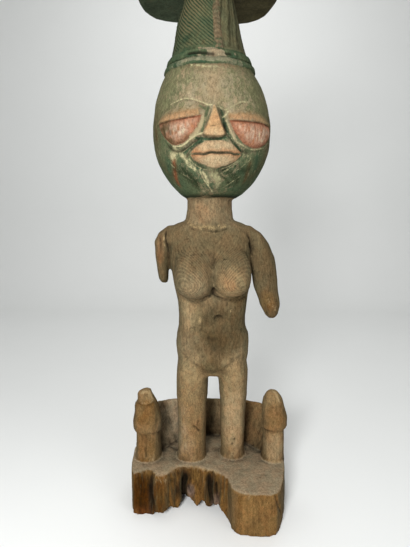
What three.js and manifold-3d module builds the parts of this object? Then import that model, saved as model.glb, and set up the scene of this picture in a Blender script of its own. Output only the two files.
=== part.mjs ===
import * as THREE from "three";
import { mergeVertices } from "three/addons/utils/BufferGeometryUtils.js";
import Module from "manifold-3d";

// A veranda post carved from one log, in millimetres. It faces -Y and +Z is up.
// Heights are measured from the standing surface, widths and depths from the log's axis.

// Sections of the swelling forms: height, then the reach to the left, right, front and back.
const neckSections = [
  [596, -57, 49, -46, 48],
  [606, -55, 46, -44, 46],
  [630, -51, 43, -42, 45],
  [660, -50, 42, -42, 46],
];
const headSections = [
  [651, -50, 46, -50, 50],
  [660, -64, 62, -68, 66],
  [680, -83, 83, -92, 86],
  [706, -100, 100, -108, 103],
  [735, -112, 112, -118, 114],
  [766, -117, 117, -121, 119],
  [800, -116, 116, -120, 119],
  [832, -112, 110, -116, 114],
  [860, -103, 99, -109, 106],
  [890, -89, 80, -99, 93],
  [912, -74, 64, -82, 80],
];
const torsoSections = [
  [277, -22, 28, -16, 28],
  [283, -42, 48, -32, 44],
  [292, -62, 67, -45, 56],
  [304, -71, 76, -52, 62],
  [325, -74, 80, -55, 66],
  [348, -76, 81, -56, 67],
  [368, -74, 79, -54, 62],
  [386, -70, 73, -50, 55],
  [408, -69, 72, -48, 52],
  [440, -71, 76, -49, 52],
  [480, -80, 80, -52, 57],
  [525, -88, 81, -54, 62],
  [556, -93, 86, -53, 63],
  [571, -106, 100, -50, 61],
  [583, -105, 98, -46, 57],
  [594, -88, 82, -42, 51],
  [602, -70, 64, -38, 46],
  [608, -54, 48, -34, 42],
];
const leftArmSections = [
  [477, -104, -93, -7, 7],
  [484, -110, -91, -16, 15],
  [502, -113, -90, -22, 21],
  [532, -118, -87, -25, 25],
  [564, -119, -82, -27, 27],
  [582, -110, -74, -26, 27],
  [597, -90, -60, -20, 22],
];
const rightArmSections = [
  [411, 116, 129, -45, -35],
  [419, 109, 135, -54, -27],
  [438, 99, 140, -57, -14],
  [464, 91, 138, -48, 4],
  [500, 87, 136, -35, 19],
  [532, 83, 131, -29, 26],
  [560, 76, 119, -28, 28],
  [582, 68, 102, -26, 27],
  [597, 56, 80, -20, 22],
];
const leftLegSections = [
  [80, -76, -11, -30, 38],
  [108, -74, -12.5, -28, 36],
  [160, -72, -11, -28, 36],
  [217, -75, -9, -33, 40],
  [268, -75, -6, -43, 50],
  [290, -74, -2, -48, 57],
  [322, -72, 0, -50, 60],
];
const rightLegSections = [
  [80, 20, 76, -17, 48],
  [108, 22, 73, -14, 46],
  [160, 20, 74, -17, 44],
  [217, 19, 77, -26, 44],
  [268, 15, 79, -40, 52],
  [290, 10, 79, -47, 58],
  [322, 6, 76, -50, 60],
];
const leftFigureSections = [
  [82, -168, -110, -35, 32],
  [120, -166, -112, -30, 28],
  [150, -165, -113, -28, 27],
  [153, -171, -109, -32, 32],
  [172, -172, -109, -33, 33],
  [192, -168, -113, -29, 29],
  [208, -168, -117, -25, 25],
  [217, -162, -121, -18, 18],
  [234, -161, -129, -15, 14],
  [242, -147, -132, -10, 8],
];
const rightFigureSections = [
  [82, 110, 162, -26, 30],
  [120, 114, 160, -24, 26],
  [159, 113, 160, -24, 26],
  [163, 110, 166, -30, 30],
  [185, 111, 166, -30, 30],
  [206, 110, 160, -26, 26],
  [224, 113, 155, -21, 21],
  [237, 120, 146, -14, 14],
  [242, 127, 139, -7, 7],
];

const capital = { width: 294, depth: 324, under: 1060, top: 1144, edge: 7, square: 4, turn: 5 };
const capitalCentre = [-5, 0];

// The cone of hair rises from two raised bands and is grooved in a slanting twist.
const hairSections = [
  [877, -90, 82, -101, 95],
  [881, -94, 86, -106, 99],
  [889, -92, 84, -103, 97],
  [892, -87, 79, -98, 92],
  [895, -89, 80, -99, 93],
  [906, -86, 76, -94, 89],
  [909, -81, 71, -89, 84],
  [946, -73, 60, -76, 74],
  [982, -67, 53, -67, 67],
  [1030, -53, 42, -52, 54],
  [1064, -48, 38, -46, 50],
];
const hair = { sides: 36, stepsInCone: 2, firstConeRing: 6, groove: 2.2, lean: 1 / 62, tilt: 0.1 };
const seamStrip = { angle: 17, width: 11, proud: 3, low: 900, high: 1064, steps: 6, square: 3 };

// Face forms are drawn flat, with across and up in true size, and wrapped onto the head's front.
const faceRadius = 117;
const eyes = [
  { at: [-62, 786], half: 46, below: 44, above: 28, skew: 0.1 },
  { at: [75, 782], half: 44, below: 45, above: 28, skew: -0.26 },
];
const eyeForm = {
  bulge: 9, lidBulge: 12, lidWider: 2, rings: 4, tip: 0.4, sides: 14,
  rimWide: 3.2, rimProud: 1, rimSteps: 10,
};
const noseSections = [
  [753, -6, 18, -3, 8],
  [757, -12, 24, -14, 8],
  [768, -8, 20, -17, 8],
  [786, -2, 13, -11, 8],
  [806, 1, 10, -5, 8],
  [818, 3, 7, -1, 8],
];
const upperLip = { at: [10, 0, 732], size: [48, 13, 12], arch: 5 };
const lowerLip = { at: [10, 0, 716], size: [44, 14, 14], arch: 4 };
const ears = { at: 114, back: 22, height: 772, size: [6, 14, 26] };

const breasts = [
  { at: [-33, -42, 484], size: [40, 50, 34] },
  { at: [42, -42, 487], size: [39, 50, 33] },
];
const breastTop = { stretch: 2.1, flatten: 0.5, widen: 0.25 };
const navel = { at: [13, -48, 420], size: [8, 6, 7] };
const buttocks = { middle: 2, apart: 36, y: 26, z: 322, size: [44, 50, 50] };

// The base stands on a broad back and two front feet. Its front between them has rotted away.
const base = {
  top: 88, layers: 4, back: 128, left: -176, right: 163, sideTurn: 30, shoulder: 0.73, span: 90,
};
const leftFoot = [[-172, -25], [-166, -58], [-160, -71], [-152, -68], [-136, -56], [-126, -52]];
const brokenEdge = [
  [-120, -64], [-106, -74], [-92, -72], [-83, -58], [-70, -46], [-48, -40], [-12, -47], [18, -62],
  [36, -82],
];
const rightFoot = [
  [39, -92], [42, -110], [49, -121], [62, -129], [88, -131], [116, -131], [130, -125], [139, -109],
  [147, -85], [156, -46],
];
const rot = { step: 9, lean: 0.2, from: -160, to: 38, behind: -35, fade: 22, crust: 30 };
const splinters = { depth: 4, coarse: 0.42, fine: 0.93, fineShare: 0.7, fineShift: 1.3, drift: 0.04 };
const rotTeeth = [
  [-124, -6], [-115, 10], [-101, 17], [-97, 12], [-91, 15], [-84, 15], [-82, 21], [-79, 11],
  [-74, 3], [-67, 6], [-61, 25], [-44, 24], [-40, 17], [-28, 10], [-21, 20], [-13, 18], [-6, 13],
  [3, 13], [8, 22], [18, 23], [23, 15], [31, 9], [38, -6],
];
const rotCut = { front: -150, back: -20 };
const rotHollow = { at: [-30, 22, 0], size: [58, 70, 36] };

// The low wall's inner foot, from left to right. Its face leans back, more so at the sides, up to a
// narrow top, and its ends run into the two small figures.
const wallFoot = [
  [-118, 0], [-104, 28], [-80, 56], [-40, 83], [0, 91], [40, 80], [75, 54], [98, 32], [118, 12],
];
const wall = {
  top: 169, ends: 10, lean: 20, sideLean: 30, upright: 30, inset: 3, layers: 2, steps: 20,
  endX: 140, endY: 6, round: 5, sunk: 6, hollowTop: 200, hollowFront: -60,
};

// How many sides, or sides and rings, each form is faceted with, and how finely curves are traced.
const facets = {
  capital: 44, skull: 32, neck: 20, torso: 28, arm: 14, leg: 18, figure: 14, nose: 10, strip: 8,
  rim: 3, curve: 5, lip: [14, 8], ear: [8, 6], breast: [16, 10], navel: [8, 6], buttock: [12, 8],
  hollow: [14, 8],
};
const ringsPerSection = { skull: 2, traced: 8 };
const softSquare = 2.3;
const mergeWithin = 1e-3;

const wood = { color: 0x85755d, roughness: 0.86, metalness: 0 };

const wasm = await Module();
wasm.setup();

// A closed three.js geometry becomes a solid once its seam and pole vertices are merged.
function solidOf(geometry) {
  geometry.deleteAttribute("normal");
  geometry.deleteAttribute("uv");
  const merged = mergeVertices(geometry, mergeWithin);
  const index = merged.index.array;
  const triangles = [];
  for (let i = 0; i < index.length; i += 3) {
    const [a, b, c] = [index[i], index[i + 1], index[i + 2]];
    if (a !== b && b !== c && c !== a) triangles.push(a, b, c);
  }
  const mesh = new wasm.Mesh({
    numProp: 3,
    vertProperties: new Float32Array(merged.attributes.position.array),
    triVerts: new Uint32Array(triangles),
  });
  return new wasm.Manifold(mesh);
}

function joined(solids) {
  return solids.reduce((whole, next) => whole.add(next));
}

// Every vertex is moved by move(x, y, z), which gives its new place.
function warp(geometry, move) {
  const position = geometry.attributes.position;
  for (let i = 0; i < position.count; i++) {
    position.setXYZ(i, ...move(position.getX(i), position.getY(i), position.getZ(i)));
  }
  return geometry;
}

// A value between four neighbours of a list, on a Catmull-Rom curve.
function between(before, from, to, after, t) {
  const slopeFrom = (to - before) / 2;
  const slopeTo = (after - from) / 2;
  const cube = 2 * from - 2 * to + slopeFrom + slopeTo;
  const square = 3 * to - 3 * from - 2 * slopeFrom - slopeTo;
  return ((cube * t + square) * t + slopeFrom) * t + from;
}

function refine(rows, steps) {
  const last = rows.length - 1;
  const fine = [];
  for (let i = 0; i < last; i++) {
    const near = [rows[Math.max(i - 1, 0)], rows[i], rows[i + 1], rows[Math.min(i + 2, last)]];
    for (let k = 0; k < steps; k++) {
      fine.push(near[1].map((_, n) => between(...near.map((row) => row[n]), k / steps)));
    }
  }
  fine.push(rows[last]);
  return fine;
}

// A stack of sections, closed flat at both ends. Angle 0 is the front and 90 degrees the right.
function loft(rings, sides, { square = 2, twist = null, relief = null } = {}) {
  const profile = rings.map((ring, level) => new THREE.Vector2(1, level));
  profile.unshift(new THREE.Vector2(0, 0));
  profile.push(new THREE.Vector2(0, rings.length - 1));
  const geometry = new THREE.LatheGeometry(profile, sides);
  const position = geometry.attributes.position;
  const power = (value) => Math.sign(value) * Math.abs(value) ** (2 / square);
  for (let i = 0; i < position.count; i++) {
    const column = Math.floor(i / profile.length) % sides;
    const row = i % profile.length;
    const level = THREE.MathUtils.clamp(row - 1, 0, rings.length - 1);
    const [z, left, right, front, back] = rings[level];
    const angle = (column / sides) * 2 * Math.PI + (twist ? twist(z) : 0);
    const onAxis = row === 0 || row === profile.length - 1;
    const out = onAxis ? 0 : 1;
    const extra = relief && !onAxis ? relief(column, level) : 0;
    const halfWidth = (right - left) / 2 + extra;
    const halfDepth = (back - front) / 2 + extra;
    const x = (left + right) / 2 + out * halfWidth * power(Math.sin(angle));
    const y = (front + back) / 2 - out * halfDepth * power(Math.cos(angle));
    position.setXYZ(i, x, y, z);
  }
  return geometry;
}

function ellipsoid({ at, size }, [sides, rings]) {
  const ball = new THREE.SphereGeometry(1, sides, rings);
  ball.rotateX(Math.PI / 2);
  ball.scale(...size);
  ball.translate(...at);
  return ball;
}

function makeCapital() {
  const { width, depth, under, top, edge, square, turn } = capital;
  const ring = (z, inset) => [
    z, inset - width / 2, width / 2 - inset, inset - depth / 2, depth / 2 - inset,
  ];
  const rings = [ring(under, edge), ring(under + edge, 0), ring(top - edge, 0), ring(top, edge)];
  const block = loft(rings, facets.capital, { square });
  block.rotateZ(THREE.MathUtils.degToRad(turn));
  block.translate(...capitalCentre, 0);
  return solidOf(block);
}

function makeHair() {
  const { sides, stepsInCone, firstConeRing, groove, lean } = hair;
  const bands = hairSections.slice(0, firstConeRing);
  const cone = refine(hairSections.slice(firstConeRing), stepsInCone);
  const rings = [...bands, ...cone];
  const coneFoot = hairSections[firstConeRing][0];
  const twist = (z) => -Math.max(z - coneFoot, 0) * lean;
  const relief = (column, level) => (level > firstConeRing && column % 2 ? -groove : 0);
  return solidOf(hairTilt(loft(rings, sides, { twist, relief })));
}

// The hairline rises towards the back, and the tilt dies away up the cone.
function hairTilt(geometry) {
  const [foot, , , front] = hairSections[0];
  const top = hairSections.at(-1)[0];
  return warp(geometry, (x, y, z) => [x, y, z + hair.tilt * (y - front) * ((top - z) / (top - foot))]);
}

// The raised strip follows the cone's surface a little to the right of the face.
function makeSeamStrip() {
  const { angle, width, proud, low, high, steps } = seamStrip;
  const turn = THREE.MathUtils.degToRad(angle);
  const cone = refine(hairSections, ringsPerSection.traced);
  const rings = [];
  for (let i = 0; i <= steps; i++) {
    const height = THREE.MathUtils.lerp(low, high, i / steps);
    const near = cone.reduce((a, b) => (Math.abs(b[0] - height) < Math.abs(a[0] - height) ? b : a));
    const [, left, right, front, back] = near;
    const x = (left + right) / 2 + ((right - left) / 2) * Math.sin(turn);
    const y = (front + back) / 2 - ((back - front) / 2 + proud) * Math.cos(turn);
    rings.push([height, x - width / 2, x + width / 2, y, y + 2 * width]);
  }
  return solidOf(loft(rings, facets.strip, { square: seamStrip.square }));
}

// Wraps a flat form round the front of the head: across becomes an angle and -Y is outwards.
function onFace(geometry) {
  const rings = refine(headSections, ringsPerSection.traced);
  warp(geometry, (across, y, z) => {
    const above = Math.max(rings.findIndex((ring) => ring[0] >= z), 1);
    const [low, high] = [rings[above - 1], rings[above]];
    const share = (z - low[0]) / (high[0] - low[0]);
    const [left, right, front, back] = [1, 2, 3, 4].map((n) => low[n] + (high[n] - low[n]) * share);
    const angle = across / faceRadius;
    return [
      (left + right) / 2 + ((right - left) / 2 - y) * Math.sin(angle),
      (front + back) / 2 - ((back - front) / 2 - y) * Math.cos(angle),
      z,
    ];
  });
  return solidOf(geometry);
}

// Half an ellipsoid, cut flat along the lid line: reach is its height, negative below the line.
function halfBall({ half, reach, bulge, skew }) {
  const rings = [];
  for (let i = 0; i <= eyeForm.rings; i++) {
    const rise = Math.sin((i / (eyeForm.rings + eyeForm.tip)) * (Math.PI / 2));
    const width = half * Math.sqrt(1 - rise ** 2);
    const depth = bulge * Math.sqrt(1 - rise ** 2);
    const middle = skew * reach * rise;
    rings.push([reach * rise, middle - width, middle + width, -depth, depth]);
  }
  if (reach < 0) rings.reverse();
  return loft(rings, eyeForm.sides);
}

// The ball bulges below the lid line, and the heavy upper lid hangs over it from above.
function makeEye(eye) {
  const { half, above, below, skew } = eye;
  const { bulge, lidBulge, lidWider } = eyeForm;
  const ball = halfBall({ half, reach: -below, bulge, skew });
  const upper = halfBall({ half: half + lidWider, reach: above, bulge: lidBulge, skew: 0 });
  const placed = [ball, upper].map((shape) => onFace(shape.translate(eye.at[0], 0, eye.at[1])));
  return joined([...placed, makeRim(eye)]);
}

// A thin raised rim runs round the lower edge of the eye, from corner to corner.
function makeRim(eye) {
  const { rimWide, rimProud, rimSteps } = eyeForm;
  const points = [];
  for (let i = 0; i <= rimSteps; i++) {
    const around = (i / rimSteps) * Math.PI;
    const down = -(eye.below + rimWide) * Math.sin(around);
    const along = (eye.half + rimWide) * Math.cos(around) + eye.skew * down;
    points.push(new THREE.Vector3(eye.at[0] + along, rimWide - rimProud, eye.at[1] + down));
  }
  const round = new THREE.Shape().absarc(0, 0, rimWide, 0, 2 * Math.PI);
  const path = new THREE.CatmullRomCurve3(points);
  return onFace(new THREE.ExtrudeGeometry(round, {
    extrudePath: path, steps: rimSteps, curveSegments: facets.rim, bevelEnabled: false,
  }));
}

// A lip is an ellipsoid whose ends bend down (upper) or up (lower) from its middle.
function makeLip(lip, sign) {
  const shape = ellipsoid({ at: [0, 0, 0], size: lip.size }, facets.lip);
  warp(shape, (x, y, z) => [x, y, z - sign * lip.arch * (x / lip.size[0]) ** 2]);
  return onFace(shape.translate(...lip.at));
}

function makeEar(side) {
  const { at, back, height, size } = ears;
  return solidOf(ellipsoid({ at: [side * at, back, height], size }, facets.ear));
}

function makeHead() {
  const skull = solidOf(loft(refine(headSections, ringsPerSection.skull), facets.skull));
  const nose = onFace(loft(noseSections, facets.nose, { square: softSquare }));
  return joined([
    skull,
    ...eyes.map(makeEye),
    nose,
    makeLip(upperLip, 1),
    makeLip(lowerLip, -1),
    makeEar(-1),
    makeEar(1),
    makeHair(),
    makeSeamStrip(),
  ]);
}

function makeBreast({ at, size }) {
  const shape = ellipsoid({ at: [0, 0, 0], size }, facets.breast);
  warp(shape, (x, y, z) => {
    const rise = Math.max(z / size[2], 0);
    return [
      x * (1 + breastTop.widen * rise),
      y * (1 - breastTop.flatten * rise),
      z > 0 ? z * breastTop.stretch : z,
    ];
  });
  shape.translate(...at);
  return solidOf(shape);
}

function makeButtock(side) {
  const { middle, apart, y, z, size } = buttocks;
  return solidOf(ellipsoid({ at: [middle + side * apart, y, z], size }, facets.buttock));
}

function makeBody() {
  return joined([
    solidOf(loft(torsoSections, facets.torso, { square: softSquare })),
    solidOf(loft(neckSections, facets.neck)),
    solidOf(loft(leftArmSections, facets.arm)),
    solidOf(loft(rightArmSections, facets.arm)),
    solidOf(loft(leftLegSections, facets.leg, { square: softSquare })),
    solidOf(loft(rightLegSections, facets.leg, { square: softSquare })),
    ...breasts.map(makeBreast),
    solidOf(ellipsoid(navel, facets.navel)),
    makeButtock(-1),
    makeButtock(1),
  ]);
}

// The rotted front is ragged along the grain and leans forward towards the ground.
function rotten(x, y, z) {
  if (x < rot.from || x > rot.to || y > rot.behind) return [x, y, z];
  const inside = Math.min((x - rot.from) / rot.fade, (rot.to - x) / rot.fade, 1);
  const { depth, coarse, fine, fineShare, fineShift, drift } = splinters;
  const ridges = Math.sin(x * coarse) + fineShare * Math.sin(x * fine + fineShift + z * drift);
  const fall = base.top - z;
  const ragged = depth * ridges * Math.min(fall / rot.crust, 1);
  return [x, y - inside * (fall * rot.lean - ragged), z];
}

// Carries an outline round the back of the log, from its right side to an end on its left.
function roundBack(outline, right, left, back, end) {
  const middle = (left + right) / 2;
  const { shoulder, span } = base;
  outline.bezierCurveTo(right, back * shoulder, middle + span, back, middle, back);
  outline.bezierCurveTo(middle - span, back, left, back * shoulder, ...end);
}

function makeBlock() {
  const { top, layers, back, left, right, sideTurn } = base;
  const outline = new THREE.Shape();
  outline.moveTo(...leftFoot[0]);
  leftFoot.slice(1).forEach((point) => outline.lineTo(...point));
  const edge = new THREE.SplineCurve(brokenEdge.map((point) => new THREE.Vector2(...point)));
  const count = Math.round(edge.getLength() / rot.step);
  edge.getSpacedPoints(count).forEach((point) => outline.lineTo(point.x, point.y));
  rightFoot.forEach((point) => outline.lineTo(...point));
  outline.lineTo(right, sideTurn);
  roundBack(outline, right, left, back, [left, sideTurn]);
  const block = new THREE.ExtrudeGeometry(outline, {
    depth: top, steps: layers, bevelEnabled: false, curveSegments: facets.curve,
  });
  return solidOf(warp(block, rotten));
}

function makeRotCut() {
  const teeth = new THREE.Shape(rotTeeth.map((point) => new THREE.Vector2(...point)));
  const depth = rotCut.back - rotCut.front;
  const cut = new THREE.ExtrudeGeometry(teeth, { depth, bevelEnabled: false });
  cut.rotateX(Math.PI / 2);
  cut.translate(0, rotCut.back, 0);
  return solidOf(cut).add(solidOf(ellipsoid(rotHollow, facets.hollow)));
}

// The wall is the rounded back of the log, hollowed from within by a shape that widens upwards.
function makeWall() {
  const { top, ends, inset, layers, endX, endY, round } = wall;
  const outline = new THREE.Shape();
  outline.moveTo(-endX, endY);
  outline.lineTo(endX, endY);
  roundBack(outline, base.right - inset, base.left + inset, base.back - inset, [-endX, endY]);
  const foot = base.top - wall.sunk;
  const shape = new THREE.ExtrudeGeometry(outline, {
    depth: top - foot, steps: layers, bevelEnabled: false, curveSegments: facets.curve,
  });
  warp(shape, (x, y, z) => {
    const rise = z / (top - foot);
    const inwards = 1 - (round * rise ** 3) / Math.hypot(x, y);
    return [x * inwards, y * inwards, foot + z + ends * rise * (x / endX) ** 2];
  });
  return solidOf(shape).subtract(makeWallHollow(foot));
}

function makeWallHollow(foot) {
  const { top, lean, sideLean, upright, steps, endX, hollowTop, hollowFront } = wall;
  const innerFoot = new THREE.SplineCurve(wallFoot.map((point) => new THREE.Vector2(...point)));
  const outline = new THREE.Shape(innerFoot.getPoints(steps));
  outline.lineTo(endX, hollowFront);
  outline.lineTo(-endX, hollowFront);
  const shape = new THREE.ExtrudeGeometry(outline, {
    depth: hollowTop - foot, steps: 1, bevelEnabled: false,
  });
  warp(shape, (x, y, z) => {
    const reach = Math.hypot(x, y);
    const share = THREE.MathUtils.clamp(y / upright, 0, 1);
    const push = (lean + sideLean * (x / reach) ** 2) * share * (z / (top - foot));
    return [x * (1 + push / reach), y * (1 + push / reach), foot + z];
  });
  return solidOf(shape);
}

function makeBase() {
  return joined([
    makeBlock(),
    makeWall(),
    solidOf(loft(leftFigureSections, facets.figure, { square: softSquare })),
    solidOf(loft(rightFigureSections, facets.figure)),
  ]).subtract(makeRotCut());
}

// The finished solid is moved so that the middle of its underside is the origin.
function makePost() {
  const whole = joined([makeCapital(), makeHead(), makeBody(), makeBase()]);
  const box = whole.boundingBox();
  const middle = [0, 1].map((axis) => (box.min[axis] + box.max[axis]) / 2);
  const mesh = whole.translate([-middle[0], -middle[1], -box.min[2]]).getMesh();
  const geometry = new THREE.BufferGeometry();
  geometry.setAttribute("position", new THREE.BufferAttribute(mesh.vertProperties, 3));
  geometry.setIndex(new THREE.BufferAttribute(mesh.triVerts, 1));
  geometry.computeVertexNormals();
  const post = new THREE.Mesh(geometry, new THREE.MeshStandardMaterial(wood));
  post.name = "carved_post";
  return post;
}

const part = new THREE.Group();
part.add(makePost());

export default part;
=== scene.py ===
import math

import bmesh
import bpy
import numpy as np
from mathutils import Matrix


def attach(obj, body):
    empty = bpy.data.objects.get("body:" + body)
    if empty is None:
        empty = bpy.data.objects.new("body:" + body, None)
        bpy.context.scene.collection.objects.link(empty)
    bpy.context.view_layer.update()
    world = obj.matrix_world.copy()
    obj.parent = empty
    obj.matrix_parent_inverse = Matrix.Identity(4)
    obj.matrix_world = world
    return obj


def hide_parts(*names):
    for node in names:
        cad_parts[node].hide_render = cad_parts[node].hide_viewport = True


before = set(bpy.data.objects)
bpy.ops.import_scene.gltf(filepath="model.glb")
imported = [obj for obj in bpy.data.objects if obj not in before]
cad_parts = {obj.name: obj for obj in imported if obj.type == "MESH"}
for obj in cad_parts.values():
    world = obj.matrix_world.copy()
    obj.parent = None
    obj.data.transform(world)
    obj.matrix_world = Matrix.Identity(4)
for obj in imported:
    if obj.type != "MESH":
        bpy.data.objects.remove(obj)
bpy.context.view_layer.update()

# The eye of the picture: low and close, a little to the right of the post's middle.
eye = {"place": (0.02105, -0.86, 0.60), "lens": 27.05, "film": 36, "turn": 1.94, "dip": 6.87}

lights = {
    "key": {"place": (-0.30, -1.45, 0.92), "aim": (0, 0, 0.55), "size": 0.40, "watts": 33},
    "fill": {"place": (1.6, -1.5, 1.5), "aim": (0, 0, 0.4), "size": 1.4, "watts": 10},
    "wash": {"place": (0, 0.9, 2.6), "aim": (0, 2.2, 0.9), "size": 1.6, "watts": 20},
    "sky": {"colour": (0.81, 0.82, 0.81), "strength": 0.45},
}

stage = {"reach": 3.0, "back": 1.9, "bend": 0.7, "high": 3.2, "colour": (0.80, 0.81, 0.80)}


def makeCamera():
    data = bpy.data.cameras.new("camera")
    data.lens = eye["lens"]
    data.sensor_width = eye["film"]
    camera = bpy.data.objects.new("camera", data)
    camera.location = eye["place"]
    camera.rotation_euler = (math.radians(90 - eye["dip"]), 0, math.radians(eye["turn"]))
    bpy.context.scene.collection.objects.link(camera)
    bpy.context.scene.camera = camera


def makeLight(name):
    light = lights[name]
    data = bpy.data.lights.new(name, "AREA")
    data.shape = "DISK"
    data.size = light["size"]
    data.energy = light["watts"]
    lamp = bpy.data.objects.new(name, data)
    lamp.location = light["place"]
    aim = [b - a for a, b in zip(light["place"], light["aim"])]
    turn = math.atan2(-aim[0], aim[1])
    lift = math.atan2(aim[2], math.hypot(aim[0], aim[1]))
    lamp.rotation_euler = (math.radians(90) + lift, 0, turn)
    bpy.context.scene.collection.objects.link(lamp)


def makeSky():
    sky = bpy.data.worlds.new("sky")
    sky.use_nodes = True
    glow = sky.node_tree.nodes["Background"]
    glow.inputs["Color"].default_value = (*lights["sky"]["colour"], 1)
    glow.inputs["Strength"].default_value = lights["sky"]["strength"]
    bpy.context.scene.world = sky


def makeStage():
    # A pale floor that turns up into a back wall in one soft bend.
    bm = bmesh.new()
    start = bm.verts.new((-stage["reach"], -stage["reach"], 0))
    corner = bm.verts.new((-stage["reach"], stage["back"], 0))
    bm.edges.new((start, corner))
    made = bmesh.ops.spin(
        bm, geom=[corner], cent=(-stage["reach"], stage["back"], stage["bend"]), axis=(1, 0, 0),
        angle=math.radians(90), steps=16)
    last = [v for v in made["geom_last"] if isinstance(v, bmesh.types.BMVert)]
    up = bmesh.ops.extrude_vert_indiv(bm, verts=last)
    bmesh.ops.translate(bm, verts=up["verts"], vec=(0, 0, stage["high"]))
    across = bmesh.ops.extrude_edge_only(bm, edges=bm.edges[:])
    moved = [v for v in across["geom"] if isinstance(v, bmesh.types.BMVert)]
    bmesh.ops.translate(bm, verts=moved, vec=(2 * stage["reach"], 0, 0))
    bmesh.ops.recalc_face_normals(bm, faces=bm.faces[:])
    floor = meshObject(bm, "floor")
    for face in floor.data.polygons:
        face.use_smooth = True
    floor.data.materials.append(floorMaterial())


def meshObject(bm, name):
    mesh = bpy.data.meshes.new(name)
    bm.to_mesh(mesh)
    bm.free()
    made = bpy.data.objects.new(name, mesh)
    bpy.context.scene.collection.objects.link(made)
    return made


def place(tree, kind, inputs=None, **settings):
    # One shader node: inputs may be plain values or other nodes' sockets.
    made = tree.nodes.new("ShaderNode" + kind)
    for name, value in settings.items():
        setattr(made, name, value)
    for name, value in (inputs or {}).items():
        if isinstance(value, bpy.types.NodeSocket):
            tree.links.new(value, made.inputs[name])
        else:
            made.inputs[name].default_value = value
    return made


def newMaterial(name):
    material = bpy.data.materials.new(name)
    material.use_nodes = True
    tree = material.node_tree
    return material, tree, tree.nodes["Principled BSDF"]


def floorMaterial():
    material, tree, skin = newMaterial("paleFloor")
    spot = place(tree, "TexCoord").outputs["Object"]
    cloud = place(tree, "TexNoise", {"Vector": spot, "Scale": 3.0, "Detail": 2.0})
    shade = place(tree, "Mix", {
        "Factor": cloud.outputs["Fac"], "A": (*stage["colour"], 1), "B": (*[c * 0.97 for c in stage["colour"]], 1),
    }, data_type="RGBA")
    tree.links.new(shade.outputs["Result"], skin.inputs["Base Color"])
    skin.inputs["Roughness"].default_value = 0.9
    return material


# The post is one log. Forms are worked in millimetres from the log's own axis.
post = {
    "axisX": 5.35, "coarse": 2.5, "fine": 1.6, "rounds": 60, "settle": 5, "triangles": 190000, "faceShare": 0.35,
    "pull": 0.5, "push": -0.52,
}

# Sections of the head and of the hair: height, then the reach to the left, right, front and back.
head = {
    "radius": 117,
    "low": (660, 668),
    "paintFrom": 652,
    "sections": [
        (651, -50, 46, -50, 50), (660, -64, 62, -68, 66), (680, -83, 83, -92, 86),
        (706, -100, 100, -108, 103), (735, -112, 112, -118, 114), (766, -117, 117, -121, 119),
        (800, -116, 116, -120, 119), (832, -112, 110, -116, 114), (860, -103, 99, -109, 106),
        (890, -89, 80, -99, 93), (912, -74, 64, -82, 80),
    ],
}
hair = {
    "sections": [
        (877, -90, 82, -101, 95), (881, -94, 86, -106, 99), (889, -92, 84, -103, 97),
        (892, -87, 79, -98, 92), (895, -89, 80, -99, 93), (906, -86, 76, -94, 89),
        (909, -81, 71, -89, 84), (946, -73, 60, -76, 74), (982, -67, 53, -67, 67),
        (1030, -53, 42, -52, 54), (1064, -48, 38, -46, 50),
    ],
    "tilt": 0.1, "front": -101, "line": 879, "top": 1064, "fade": (1050, 1057),
    "strands": 54, "lean": 1 / 62, "strandFrom": (908, 918), "strandDepth": 1.0,
    "uneven": 1.5,
    "plaits": 20, "plaitLean": 0.0025, "plaitDepth": 1.3,
    "stripAngle": 16, "stripHalf": 5.5, "stripProud": 2.2, "notch": 9.5, "notchDepth": 1.8,
}

# Face forms are laid out flat, across and up in true size, and wrapped onto the head.
eyes = [
    {
        "lid": [(-111, 783), (-89, 782), (-74, 783), (-56, 783), (-40, 784), (-24, 786), (-16, 788)],
        "lower": [
            (-111, 783), (-106, 772), (-97, 760), (-85, 749), (-72, 741), (-58, 742), (-49, 744),
            (-39, 751), (-31, 757), (-24, 766), (-18, 777), (-16, 788),
        ],
        "rim": [
            (-114, 783), (-109, 770), (-100, 756), (-88, 745), (-74, 737), (-59, 736), (-46, 739),
            (-36, 745), (-25, 751), (-13, 755), (-9, 768), (-6, 788),
        ],
        "brow": [
            (-122, 784), (-112, 798), (-95, 809), (-74, 815), (-57, 817), (-37, 816), (-22, 810),
            (-14, 802), (-10, 790),
        ],
    },
    {
        "lid": [(33, 779), (42, 779), (53, 779), (65, 779), (80, 780), (100, 781), (121, 780), (134, 780)],
        "lower": [
            (33, 779), (39, 767), (44, 759), (55, 748), (64, 742), (85, 737), (109, 741), (129, 753),
            (138, 767), (134, 780),
        ],
        "rim": [
            (27, 780), (31, 765), (39, 753), (50, 742), (63, 735), (77, 731), (100, 734), (123, 742),
            (139, 756), (146, 780),
        ],
        "brow": [
            (22, 782), (28, 795), (40, 804), (58, 811), (80, 813), (105, 810), (125, 801), (142, 784),
        ],
    },
]
eyeForm = {
    "bulge": 8.5, "reach": 27, "over": 1.0, "corner": 11, "edge": 1.6, "rimProud": 2.2,
    "rimEdge": 1.6,
}
nose = {
    "outline": [
        (4, 808), (0, 794), (-4, 782), (-9, 770), (-14, 761), (-16, 755), (-7, 749), (7, 747),
        (20, 748), (29, 754), (27, 761), (22, 771), (18, 782), (14, 795), (9, 808),
    ],
    "proud": [(745, 12), (752, 13), (760, 12.5), (770, 10.5), (784, 7), (796, 3.4), (802, 1.2), (808, 0)],
    "slope": 2.0, "under": 3.0,
}
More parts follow.
